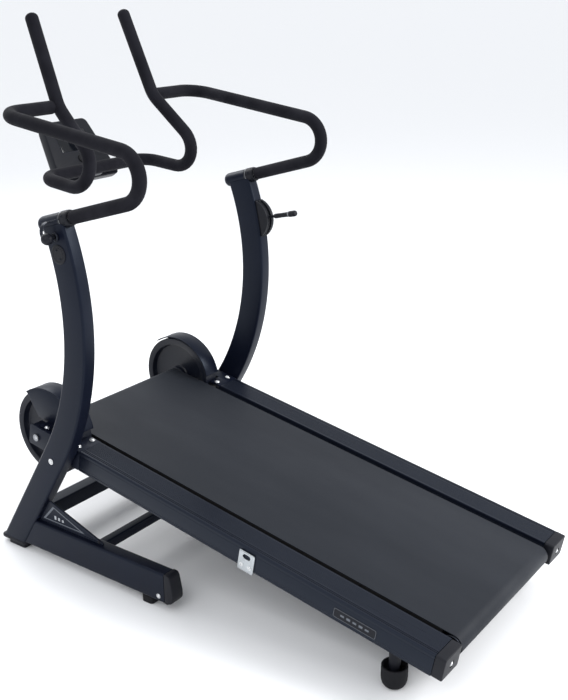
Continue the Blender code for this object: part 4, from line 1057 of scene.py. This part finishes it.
# %% Latch pin
fold_limit = math.radians(91.2)
catch_mid = -0.5634
catch_up = 0.0109
latch = fold_point + Matrix.Rotation(slope - fold_limit, 3, "X") @ Vector((0, catch_mid, catch_up))
pin_low = from_stand("latch_pin", 0)
ball_radius = 0.0135
ball_x = pin_low.x + ball_radius
pin_end = -(tube_in - 0.002)
LATCH = STAND @ Matrix.Translation(Vector((0, latch.y, latch.z)))
pin_profile = [(0, pin_end), (0.0042, pin_end), (0.005, pin_end - 0.0012), (0.005, -0.3505), (0.0050, -0.3565),
               (0.0066, -0.3580)]
neck = ball_x + ball_radius * 0.86
pin_profile.append((0.0068, neck))
for step in range(1, 15):
    turn = math.radians(30 + step * 150 / 14)
    pin_profile.append((ball_radius * math.sin(turn), ball_x + ball_radius * math.cos(turn)))
pin_profile[-1] = (0, ball_x - ball_radius)
turned(pin_profile, ORIGIN, ACROSS, 48)
finish("ball_pin", "latch_pin", gloss_plastic_look, place=LATCH, replaces=["latch_pin"])
bush_profile = [(0.0054, -tube_out - GAP), (0.0100, -tube_out - GAP), (0.0100, -tube_out - 0.0030),
                (0.0092, -tube_out - 0.0036), (0.0084, -tube_out - 0.0060), (0.0054, -tube_out - 0.0060),
                (0.0054, -tube_out - GAP)]
turned(bush_profile, ORIGIN, ACROSS, 48)
finish("pin_bush", "stand", blacked_look, place=LATCH, replaces=["latch_bush"])


# %% Guard strap and round plate
def draw_strap():
    """A strip in the machine's side plane with an S bend, standing off the tube beside the ball."""
    run = [(-0.3445, 0.030), (-0.3560, 0.027), (-0.3640, 0.019), (-0.3660, 0.006), (-0.3620, -0.008),
           (-0.3520, -0.017), (-0.3445, -0.019)]
    draw_line([(x, 0.0, z) for x, z in run])
    push((0, 0.012, 0))


drawn(draw_strap)
modify("SOLIDIFY", thickness=0.0018)
modify("SUBSURF", levels=2, render_levels=2)
edit_all()
bpy.ops.transform.translate(value=(0, 0.016, 0.002))
finish("ball_guard", "stand", blacked_look, place=LATCH, smooth=60)

plate_y, plate_z = -0.081, 0.8013
plate_profile = [(0, -tube_out), (0.0215, -tube_out), (0.0220, -tube_out - 0.0004), (0.0220, -tube_out - 0.0011),
                 (0.0212, -tube_out - 0.0017), (0.0170, -tube_out - 0.0017), (0.0166, -tube_out - 0.0012),
                 (0.0150, -tube_out - 0.0012), (0.0146, -tube_out - 0.0017), (0, -tube_out - 0.0017)]
turned(plate_profile, (0, plate_y, plate_z), ACROSS, 72)
finish("round_plate", "stand", plastic_look)
screws([((-tube_out - 0.0015, plate_y + 0.0105 * math.cos(turn), plate_z + 0.0105 * math.sin(turn)), (-1, 0, 0))
        for turn in (math.radians(60), math.radians(240))], 0.0021)
finish("plate_screws", "stand", blacked_look)
print("latch at", [round(value, 3) for value in latch])

# %% [markdown]
# ## Tension dial
# The lever on the right upright swings past a toothed edge that holds it wherever it is left. It moves the magnets
# beside the right wheel, and so sets how hard the belt is to turn. The housing is two moulded cheeks with a
# toothed strip along the slot between them.

# %% Dial housing
dial_face, dial_out = on_bend(0.762, tube_depth / 2)
dial_turn = math.atan2(-dial_out.z, -dial_out.y)
DIAL = STAND @ Matrix.Translation(dial_face + side_step) @ Matrix.Rotation(dial_turn, 4, "X")
dial_radius = (0.097 ** 2 / 4 + 0.030 ** 2) / 0.060
dial_back = dial_radius - 0.030


def dial_outline(grow, teeth):
    """The segment's outline: an arc, with teeth along its middle if asked, closed by the flat foot."""
    half = math.asin(0.0485 / dial_radius) - 0.035
    count = 112
    outline = []
    for step in range(count + 1):
        turn = half * (2 * step / count - 1)
        bite = 0.0011 if teeth and step % 8 in (0, 1, 2, 3) and 10 < step < count - 10 else 0.0
        reach = dial_radius + grow - bite
        outline.append((-(reach * math.cos(turn) - dial_back), reach * math.sin(turn)))
    outline.append((-0.0004, outline[-1][1] + 0.001))
    outline.append((-0.0004, outline[0][1] - 0.001))
    return outline


def draw_segment(x_low, x_high, grow, teeth=False):
    draw_plate([(x_low, y, z) for y, z in dial_outline(grow, teeth)], (x_high - x_low, 0, 0))


cheeks = []
for x_low, x_high, grow, teeth in ((-0.0150, -0.0072, -0.0008, False), (0.0072, 0.0150, -0.0008, False),
                                   (-0.0072, -0.0045, 0.0006, True), (0.0045, 0.0072, 0.0006, True)):
    drawn(draw_segment, x_low, x_high, grow, teeth)
    if not teeth:
        bevel_edges(0.0032, 4, 50)
    cheeks.append(bpy.context.object)
drawn(draw_block, (-0.0150, -0.0040, -0.0470), (0.0150, -0.0004, 0.0470))
bevel_edges(0.0010, 2, 50)
cheeks.append(bpy.context.object)
joined(cheeks)
finish("dial_housing", "stand", plastic_look, place=DIAL, replaces=["tension_housing"])

# %% Lever
lever_rest = math.radians(13.6)
face_turn = math.atan2(dial_out.z, -dial_out.y)
LEVER = DIAL @ Matrix.Translation((0, -0.016, 0)) @ Matrix.Rotation(-(lever_rest - face_turn), 4, "X")
lever_profile = [(0, 0.006), (0.0034, 0.006), (0.0034, 0.0250), (0.0040, 0.0270), (0.0058, 0.0300), (0.0062, 0.0320),
                 (0.0064, 0.0400), (0.0060, 0.0520), (0.0062, 0.0640), (0.0066, 0.0745), (0.0060, 0.0752),
                 (0, 0.0752)]
turned(lever_profile, (0, 0, 0), (0, -1, 0), 40)
stalk = bpy.context.object
hub = turned([(0.0034, -0.0040), (0.0100, -0.0040), (0.0100, 0.0040), (0.0034, 0.0040),
                          (0.0034, -0.0040)], (0, 0, 0), ACROSS, 40)
knob_profile = [(0, 0.0776), (0.0066, 0.0776), (0.0076, 0.0784), (0.0079, 0.0800), (0.0079, 0.0940), (0.0075, 0.0968),
                (0.0062, 0.0990), (0.0040, 0.0998), (0, 0.1000)]
knob = turned(knob_profile, (0, 0, 0), (0, -1, 0), 40)
joined([stalk, hub, knob])
finish("dial_lever", "tension_lever", plastic_look, place=LEVER, replaces=["tension_lever"])
turned([(0, 0.0750), (0.0070, 0.0750), (0.0073, 0.0756), (0.0073, 0.0772), (0.0070, 0.0778),
                    (0, 0.0778)], (0, 0, 0), (0, -1, 0), 40)
finish("lever_ring", "tension_lever", steel_look, place=LEVER)
print("lever:", 0.100, "m long, at rest", round(math.degrees(lever_rest), 1), "degrees")

# %% [markdown]
# ## Pivot bolts
# The whole deck hangs on two shoulder bolts. Each has a low domed head with a socket outside the upright, and a
# spacer between the upright and the deck's bracket.

# %% Pivot bolts
spacer = [(0.0052, rail_out - 0.009), (0.006, rail_out - 0.0085), (0.006, rail_out + GAP), (0.0105, rail_out + GAP),
          (0.011, rail_out + 0.0008), (0.011, tube_in - 0.0008), (0.0105, tube_in - GAP), (0.006, tube_in - GAP),
          (0.006, tube_out + GAP)]
turned([(0, rail_out - 0.009)] + spacer + [(0, tube_out + GAP)], ORIGIN, ACROSS, 48)
finish_pair("pivot_shoulder", "stand", steel_look, place=DECK)
screws([((tube_out + GAP, 0, 0), ACROSS)], 0.0050, 0.90)
finish_pair("pivot_head", "stand", bolt_look, place=DECK, replaces=["pivot_bolt_SIDE"])
print("pivot bolts:", round(2 * tube_out, 3), "m under their heads")

# %% [markdown]
# ## Side rails
# Each rail is a hollow tube with a ribbed cover on top, where a runner may put a foot down. The ribs and the
# double line by the outer edge run the whole length, so the cover is one section pushed through a die. The rear
# is closed by a moulded cap with one bolt.

# %% Rails
deck_reach = 1.049
axle_up = 0.0045
axle_rear = -1.0215
axle_room = 0.0067
rail_front = -0.049
cap_long = 0.024
rail_back = -deck_reach + cap_long + GAP
rail_top = 0.0325
rail_bottom = -0.0205
cover_low = rail_top - 0.0095


def draw_rail():
    height = cover_low - rail_bottom - GAP
    outline = [(rail_in, rail_bottom), (rail_out, rail_bottom), (rail_out, rail_bottom + 0.006),
               (rail_out - 0.0007, rail_bottom + 0.0068), (rail_out - 0.0007, rail_bottom + 0.0080),
               (rail_out, rail_bottom + 0.0088), (rail_out, rail_bottom + height), (rail_in, rail_bottom + height)]
    draw_plate([(x, rail_back, z) for x, z in outline], (0, rail_front - rail_back, 0))


drawn(draw_rail)
bevel_edges(0.0012, 3, 60)
rail = bpy.context.object
cut_with(rail, drawn(draw_block, (rail_in - 0.01, rail_back - 0.01, axle_up - axle_room),
                     (rail_in + 0.034, axle_rear + 0.007, axle_up + axle_room)))
finish_pair("deck_rail", "deck", rail_look, place=DECK, replaces=["side_rail_SIDE"])


# %% Ribbed covers
def cover_section():
    """The cover's outline from its inner edge to its outer edge: fine ribs, then two deeper lines."""
    outline = [(rail_in, cover_low), (rail_in, rail_top - 0.0012), (rail_in + 0.0012, rail_top)]
    x = rail_in + 0.006
    while x < rail_out - 0.0200:
        outline += [(x, rail_top), (x + 0.0004, rail_top - 0.00055), (x + 0.0012, rail_top - 0.00055),
                    (x + 0.0016, rail_top)]
        x += 0.0036
    for x in (rail_out - 0.0145, rail_out - 0.0098):
        outline += [(x, rail_top), (x + 0.0004, rail_top - 0.0011), (x + 0.0015, rail_top - 0.0011),
                    (x + 0.0019, rail_top)]
    outline += arc((rail_out - 0.005, rail_top - 0.005), 0.005, 90, 0, 6)
    outline.append((rail_out, cover_low))
    return outline


draw_plate([(x, rail_back, z) for x, z in cover_section()], (0, rail_front - rail_back, 0))
finish_pair("ribbed_cover", "deck", rail_look, place=DECK, replaces=["rail_cover_SIDE"], smooth=28)
print("covers:", len(cover_section()), "points across the section")


# %% Rear caps of the rails
def draw_rail_cap():
    section = rectangle((rail_in, rail_bottom), (rail_out, rail_top))
    draw_rounded([(x, -deck_reach + cap_long, z) for x, z in section], 0.0045, 5, (0, -cap_long, 0))


drawn(draw_rail_cap)
bevel_edges(0.0022, 4, 50)
cap = bpy.context.object
rail_mid = (rail_in + rail_out) / 2
cap_face = -deck_reach
for low, high in (((rail_in + 0.004, cap_face + 0.004, rail_bottom + 0.004),
                   (rail_out - 0.004, rail_back + 0.02, rail_top - 0.004)),
                  ((rail_in - 0.01, axle_rear - 0.007, axle_up - axle_room),
                   (rail_in + 0.014, rail_back + 0.02, axle_up + axle_room))):
    cut_with(cap, drawn(draw_block, low, high))
bolt_well = [(0, cap_face - 0.002), (0.0085, cap_face - 0.002), (0.0085, cap_face + 0.0022), (0, cap_face + 0.0022)]
cut_with(cap, turned(bolt_well, (rail_mid, 0, 0.004), (0, 1, 0), 40))
finish_pair("rail_cap", "deck", plastic_look, place=DECK, replaces=["rail_end_cap_SIDE"])
screws([((rail_mid, cap_face + 0.0022, 0.004), (0, -1, 0))], 0.0040)
finish_pair("rail_cap_bolt", "deck", bolt_look, place=DECK)
print("rail caps:", cap_long, "m long")

# %% [markdown]
# ## Belt and rollers
# The belt runs round both rollers and over the board. Its edges are cut, so they show a thin square section. The
# rollers are turned tube with pressed-in bearing housings.

# %% Running belt
axle_front = 0.0995
wrap = 0.0245
belt_half = 0.215


def draw_belt():
    loop = arc((axle_front, axle_up), wrap, 90, -90, 24) + arc((axle_rear, axle_up), wrap, -90, -270, 24)
    outline = [(-belt_half, y, z) for y, z in loop]
    draw_line(outline + [outline[0]])
    push((2 * belt_half, 0, 0))


drawn(draw_belt)
modify("SOLIDIFY", thickness=0.0020, offset=-1)
bevel_edges(0.0004, 2, 60)
finish("belt_loop", "deck", belt_look, place=DECK, replaces=["running_belt"])

# %% Rollers
roller = 0.0222


def roller_profile(half):
    return [(0.0063, -half), (0.0130, -half), (0.0136, -half + 0.0012), (0.0180, -half + 0.0012),
            (0.0186, -half), (0.0216, -half), (roller, -half + 0.0006), (roller, half - 0.0006), (0.0216, half),
            (0.0186, half), (0.0180, half - 0.0012), (0.0136, half - 0.0012), (0.0130, half), (0.0063, half),
            (0.0063, -half)]


turned(roller_profile(0.2193), (0, axle_front, axle_up), ACROSS, 64)
finish("front_drum", "front_roller", blacked_look, place=DECK, replaces=["front_roller"])
turned(roller_profile(0.219), (0, axle_rear, axle_up), ACROSS, 64)
finish("rear_drum", "rear_roller", blacked_look, place=DECK, replaces=["rear_roller"])
print("belt:", round(axle_front - axle_rear, 3), "m between roller centres")

# %% [markdown]
# ## Front brackets
# A folded steel bracket on each rail carries the front axle and turns on the pivot bolt. Its top flange takes two
# bolts into the rail and one for the wheel guard.

# %% Brackets
bracket_front = 0.125
bracket_back = rail_front + GAP


def draw_side_plate():
    section = rectangle((bracket_back, rail_bottom), (bracket_front, rail_top))
    draw_rounded([(rail_out - 0.005, y, z) for y, z in section], 0.005, 5, (0.005, 0, 0))


bracket = drawn(draw_side_plate)
flange_out = 0.299
for low, high in (((0.2671, bracket_back, 0.0285), (flange_out, bracket_front - 0.006, 0.0324)),
                  ((rail_in, bracket_back + 0.0001, 0.0283), (flange_out, bracket_back + 0.036, 0.0323)),
                  ((rail_in + 0.0002, bracket_back + 0.0002, rail_bottom + 0.001),
                   (flange_out, bracket_back + 0.005, 0.0305))):
    cut_with(bracket, drawn(draw_block, low, high), "UNION")
bevel_edges(0.0008, 2, 50)
finish_pair("axle_bracket", "deck", frame_coat, place=DECK, replaces=["roller_bracket_SIDE"])
screws([((0.2850, -0.029, 0.0325), (0, 0, 1)), ((0.2400, -0.029, 0.0325), (0, 0, 1))], 0.0048)
finish_pair("bracket_bolts", "deck", bolt_look, place=DECK)
screws([((rail_out + GAP, axle_front, axle_up), ACROSS)], 0.0048)
finish_pair("axle_bolt", "deck", bolt_look, place=DECK)
for node in ("front_axle", "rear_axle"):
    dress(frame["nodes"][node], steel_look)

# %% [markdown]
# ## Flywheels
# Nothing but the runner turns the belt, so a heavy cast wheel on each end of the front roller smooths the stride.
# The weight is in the rim, and the web is thin. Each is turned on its rim and face after casting, then painted.

# %% Flywheels
wheel_in = 0.2196
wheel_out = 0.2616
near = (wheel_in + wheel_out) / 2 - 0.005
far = (wheel_in + wheel_out) / 2 + 0.005
wheel = [(0.0063, wheel_in), (0.0225, wheel_in), (0.0240, wheel_in + 0.0015), (0.0245, near - 0.003), (0.0275, near),
         (0.0840, near), (0.0880, near - 0.0015), (0.0905, near - 0.0060), (0.0920, wheel_in + 0.0006),
         (0.0928, wheel_in), (0.1085, wheel_in), (0.1100, wheel_in + 0.0015), (0.1100, wheel_out - 0.0015),
         (0.1085, wheel_out), (0.0928, wheel_out), (0.0920, wheel_out - 0.0006), (0.0905, far + 0.0060),
         (0.0880, far + 0.0015), (0.0840, far), (0.0275, far), (0.0245, far + 0.003), (0.0240, wheel_out - 0.0015),
         (0.0225, wheel_out), (0.0063, wheel_out), (0.0063, wheel_in)]
turned(wheel, (0, axle_front, axle_up), ACROSS, 128)
finish_pair("cast_wheel", "front_roller", iron_look, place=DECK, replaces=["flywheel_SIDE"])
dress(frame["nodes"]["magnet_carrier"], zinc_look)
print("flywheels:", 0.220, "m across")

# %% [markdown]
# ## Wheel guards
# A sheet guard wraps the top of each wheel: a rolled strip over the rim, and a flat side that comes down to the
# bracket. Its edges are folded back into a small lip, so nothing sharp is left near a foot.


# %% Guards
guard_in = 0.1135
guard_out = 0.1160
guard_front = 45
guard_back = 158
wheel_centre = (axle_front, axle_up)


def draw_guard_strip():
    outline = arc(wheel_centre, guard_out, guard_front, guard_back, 48)
    outline += arc(wheel_centre, guard_in, guard_back, guard_front, 48)
    draw_plate([(wheel_in - 0.003, y, z) for y, z in outline], (wheel_out - wheel_in + 0.0065, 0, 0))


def draw_guard_side():
    outline = arc(wheel_centre, guard_out - 0.0005, guard_front, guard_back, 48)
    outline += [(axle_front - 0.045, rail_top + GAP), (axle_front + 0.034, rail_top + GAP + 0.003)]
    draw_plate([(wheel_out + 0.0015, y, z) for y, z in outline], (0.0019, 0, 0))


def draw_lip(x, radius, wire):
    """A rolled edge: a round section spun about the wheel's own axis."""
    y, z = arc(wheel_centre, radius, guard_front, guard_back, 1)[0]
    nothing_selected()
    bpy.ops.mesh.primitive_circle_add(vertices=14, radius=wire, location=(x, y, z),
                                      rotation=(math.radians(guard_front), 0, 0))
    edit_all()
    bpy.ops.mesh.spin(steps=56, angle=-math.radians(guard_back - guard_front), center=(0, axle_front, axle_up),
                      axis=ACROSS)
    close_holes()


drawn(draw_guard_strip)
bevel_edges(0.0007, 2, 50)
strip = bpy.context.object
drawn(draw_guard_side)
bevel_edges(0.0005, 2, 50)
side = bpy.context.object
tab = drawn(draw_block, (wheel_out + 0.0016, axle_front - 0.028, rail_top + GAP + 0.0001),
            (rail_out - 0.008, axle_front + 0.002, rail_top + GAP + 0.0021))
joined([strip, side, tab])
finish_pair("wheel_guard", "deck", frame_coat, place=DECK, replaces=["fender_SIDE"])
lips = [drawn(draw_lip, wheel_in - 0.0026, guard_out - 0.0009, 0.0014),
        drawn(draw_lip, wheel_out + 0.0030, guard_out - 0.0009, 0.0013)]
joined(lips)
finish_pair("guard_lip", "deck", frame_coat, place=DECK)
screws([((0.2850, 0.081, rail_top + GAP + 0.0021), (0, 0, 1))], 0.0044)
finish_pair("guard_bolt", "deck", bolt_look, place=DECK)
print("guards wrap", guard_back - guard_front, "degrees of each wheel")

# %% [markdown]
# ## Catch plate and badge
# A zinc-plated plate on the left rail has the slot that takes the latch pin. Its top edge is bent out so a hand
# can find it. Further back a small outlined badge shows where a maker would put a name: it is left without words.

# %% Catch plate
catch_low = rail_bottom - 0.006
catch_high = cover_low - 0.001


def draw_catch():
    section = rectangle((catch_mid - 0.021, catch_low), (catch_mid + 0.021, catch_high))
    draw_rounded([(-rail_out - GAP, y, z) for y, z in section], 0.0035, 4, (-0.0030, 0, 0))


drawn(draw_catch)
bevel_edges(0.0005, 2, 50)
catch_plate = bpy.context.object


def draw_catch_slot():
    outline = arc((catch_mid + 0.0045, catch_up), 0.0058, -90, 90, 8)
    outline += arc((catch_mid - 0.0045, catch_up), 0.0058, 90, 270, 8)
    draw_plate([(-rail_out - 0.010, y, z) for y, z in outline], (0.0099, 0, 0))


cut_with(catch_plate, drawn(draw_catch_slot))


def draw_catch_lip():
    run = [(-rail_out - 0.0018, catch_high - 0.0012), (-rail_out - 0.0034, catch_high - 0.0010),
           (-rail_out - 0.0052, catch_high + 0.0002), (-rail_out - 0.0062, catch_high + 0.0020),
           (-rail_out - 0.0048, catch_high + 0.0026), (-rail_out - 0.0038, catch_high + 0.0014),
           (-rail_out - 0.0018, catch_high + 0.0006)]
    draw_plate([(x, catch_mid - 0.0185, z) for x, z in run], (0, 0.037, 0))


lip = drawn(draw_catch_lip)
joined([catch_plate, lip])
finish("catch_sheet", "deck", zinc_look, place=DECK, replaces=["catch_plate"])
screws([((-rail_out - 0.0033, catch_mid + offset, -0.0125), (-1, 0, 0)) for offset in (-0.0105, 0.0105)], 0.0033)
finish("catch_screws", "deck", bolt_look, place=DECK)


# %% Badge
badge_mid = -0.843


def draw_badge(grow, low, high):
    section = rectangle((-0.0525 - grow, -0.012 - grow), (0.0525 + grow, 0.012 + grow))
    draw_rounded([(-rail_out - low, badge_mid + y, z) for y, z in section], 0.005 + grow, 6, (low - high, 0, 0))


drawn(draw_badge, 0.0, 0.0001, 0.0006)
bevel_edges(0.00015, 1, 50)
finish("badge_plate", "deck", gloss_plastic_look, place=DECK)
rim = drawn(draw_badge, -0.0012, 0.0005, 0.0008)
cut_with(rim, drawn(draw_badge, -0.0020, 0.0003, 0.0012))
stripes = [rim]
for index in range(5):
    middle = badge_mid + 0.030 - index * 0.015
    half = 0.0022 + 0.0006 * (index % 2)
    stripes.append(drawn(draw_block, (-rail_out - 0.0008, middle - 0.0045, -half),
                         (-rail_out - 0.0005, middle + 0.0045, half)))
joined(stripes)
finish("badge_print", "deck", faint_look, place=DECK)
print("catch and badge on the left rail")

# %% [markdown]
# ## Levelling feet
# The rear of the deck rests on two rubber cups. A threaded stem screws each into a boss under the rail, so the
# deck can be levelled on an uneven floor.

# %% Levelling feet
foot_x = rail_out - 0.035
foot_y = -0.9212 * math.cos(slope)
FOOT = STAND @ Matrix.Translation((foot_x, foot_y, 0))
cup = [(0, 0.0), (0.0150, 0.0), (0.0185, 0.0010), (0.0225, 0.0040), (0.0256, 0.0090), (0.0274, 0.0155),
       (0.0280, 0.0220), (0.0280, 0.0470), (0.0276, 0.0486), (0.0266, 0.0490), (0.0248, 0.0490), (0.0238, 0.0480),
       (0.0232, 0.0420), (0.0220, 0.0345), (0.0200, 0.0325), (0, 0.0325)]
turned(cup, ORIGIN, UPWARD, 72)
finish_pair("rubber_cup", "levelling_foot_SIDE", rubber_look, place=FOOT,
            replaces=["levelling_foot_SIDE"])


def stem_profile():
    profile = [(0, 0.0327)]
    z = 0.0327
    while z < 0.076:
        profile += [(0.0046, z), (0.0055, z + 0.0006)]
        z += 0.0012
    return profile + [(0.0046, z), (0, z)]


turned(stem_profile(), ORIGIN, UPWARD, 32)
finish_pair("threaded_stem", "levelling_foot_SIDE", steel_look, place=FOOT)
underside = pivot_height + foot_y * math.tan(slope) + rail_bottom / math.cos(slope)


def draw_boss():
    draw_turned([(0.0060, 0.035), (0.0120, 0.035), (0.0125, 0.0356), (0.0125, 0.14), (0.0060, 0.14),
                 (0.0060, 0.035)], (0, 0, 0), (0, 0, 1), 48)


drawn(draw_boss)
edit_all()
bpy.ops.mesh.bisect(plane_co=(0, 0, underside - 0.0003), plane_no=(0, -math.sin(slope), math.cos(slope)),
                    use_fill=True, clear_outer=True)
finish_pair("foot_socket", "deck", plastic_look, place=FOOT, replaces=["foot_boss_SIDE"])
print("levelling feet under", round(underside, 4), "m of rail height")

# %% [markdown]
# ## Small fixings
# One bolt holds each floor tube's rear cap. It is small, but without it the cap would look glued.

# %% Floor tube bolts
screws([((tube_out, -0.3308, 0.035), ACROSS)], 0.0040)
finish_pair("cap_bolt", "stand", bolt_look)

# %% [markdown]
# ## Finishes for the hidden CAD parts
# The board, cross members and inner tubes stay as the CAD draws them, under their own finishes.

# %% Carried-over parts
for node, look in (("deck_board", board_look), ("front_crossmember", frame_coat), ("rear_crossmember", frame_coat),
                   ("handlebar_left", steel_look), ("handlebar_right", steel_look), ("horn_bar", steel_look)):
    dress(frame["nodes"][node], look)
bpy.data.objects.remove(master_screw)
shown = [node for node in frame["nodes"].values() if not node.hide_render]
print("CAD parts kept as they are:", sorted(node.name for node in shown))

# %% [markdown]
# ## Studio
# The machine stands on a plain pale floor under three large soft lights, with a bright even surround.

# %% Floor, lights and camera
nothing_selected()
bpy.ops.mesh.primitive_plane_add(size=300, location=(0, 0, -0.0005))
floor = bpy.context.object
floor.name = "studio_floor"
floor_mat = bpy.data.materials.new("pale_floor")
floor_mat.use_nodes = True
floor_mat.node_tree.nodes["Principled BSDF"].inputs["Base Color"].default_value = (0.93, 0.935, 0.945, 1)
floor_mat.node_tree.nodes["Principled BSDF"].inputs["Roughness"].default_value = 0.8
floor.data.materials.append(floor_mat)

world = bpy.data.worlds.new("studio")
bpy.context.scene.world = world
world.use_nodes = True
world.node_tree.nodes["Background"].inputs["Color"].default_value = (0.95, 0.97, 1.0, 1)
world.node_tree.nodes["Background"].inputs["Strength"].default_value = 1.0


def soft_light(name, place, target, size, power):
    bpy.ops.object.light_add(type="AREA", location=place)
    light = bpy.context.object
    light.name = name
    light.data.size = size
    light.data.energy = power
    light.rotation_euler = (Vector(target) - Vector(place)).to_track_quat("-Z", "Y").to_euler()


soft_light("key_light", (1.6, -3.0, 2.6), (0, -0.1, 0.5), 1.8, 130)
soft_light("fill_light", (-2.8, -0.6, 2.6), (0, 0, 0.6), 2.2, 25)
soft_light("rim_light", (0.6, 2.8, 3.0), (0, 0.2, 0.6), 2.0, 60)

azimuth = math.radians(-54.088)
elevation = math.radians(19.594)
roll = math.radians(-0.082)
away = Vector((math.sin(azimuth) * math.cos(elevation), -math.cos(azimuth) * math.cos(elevation), math.sin(elevation)))
bpy.ops.object.camera_add()
camera = bpy.context.object
camera.matrix_world = (Matrix.Translation((pivot.x - 1.8641, pivot.y - 1.7873, 1.375))
                       @ away.to_track_quat("Z", "Y").to_matrix().to_4x4() @ Matrix.Rotation(roll, 4, "Z"))
camera.data.sensor_width = 36
camera.data.lens = 54.2
camera.data.dof.use_dof = False
bpy.context.scene.camera = camera
bpy.context.scene.view_settings.view_transform = "Standard"
print("camera at", [round(value, 3) for value in camera.location])
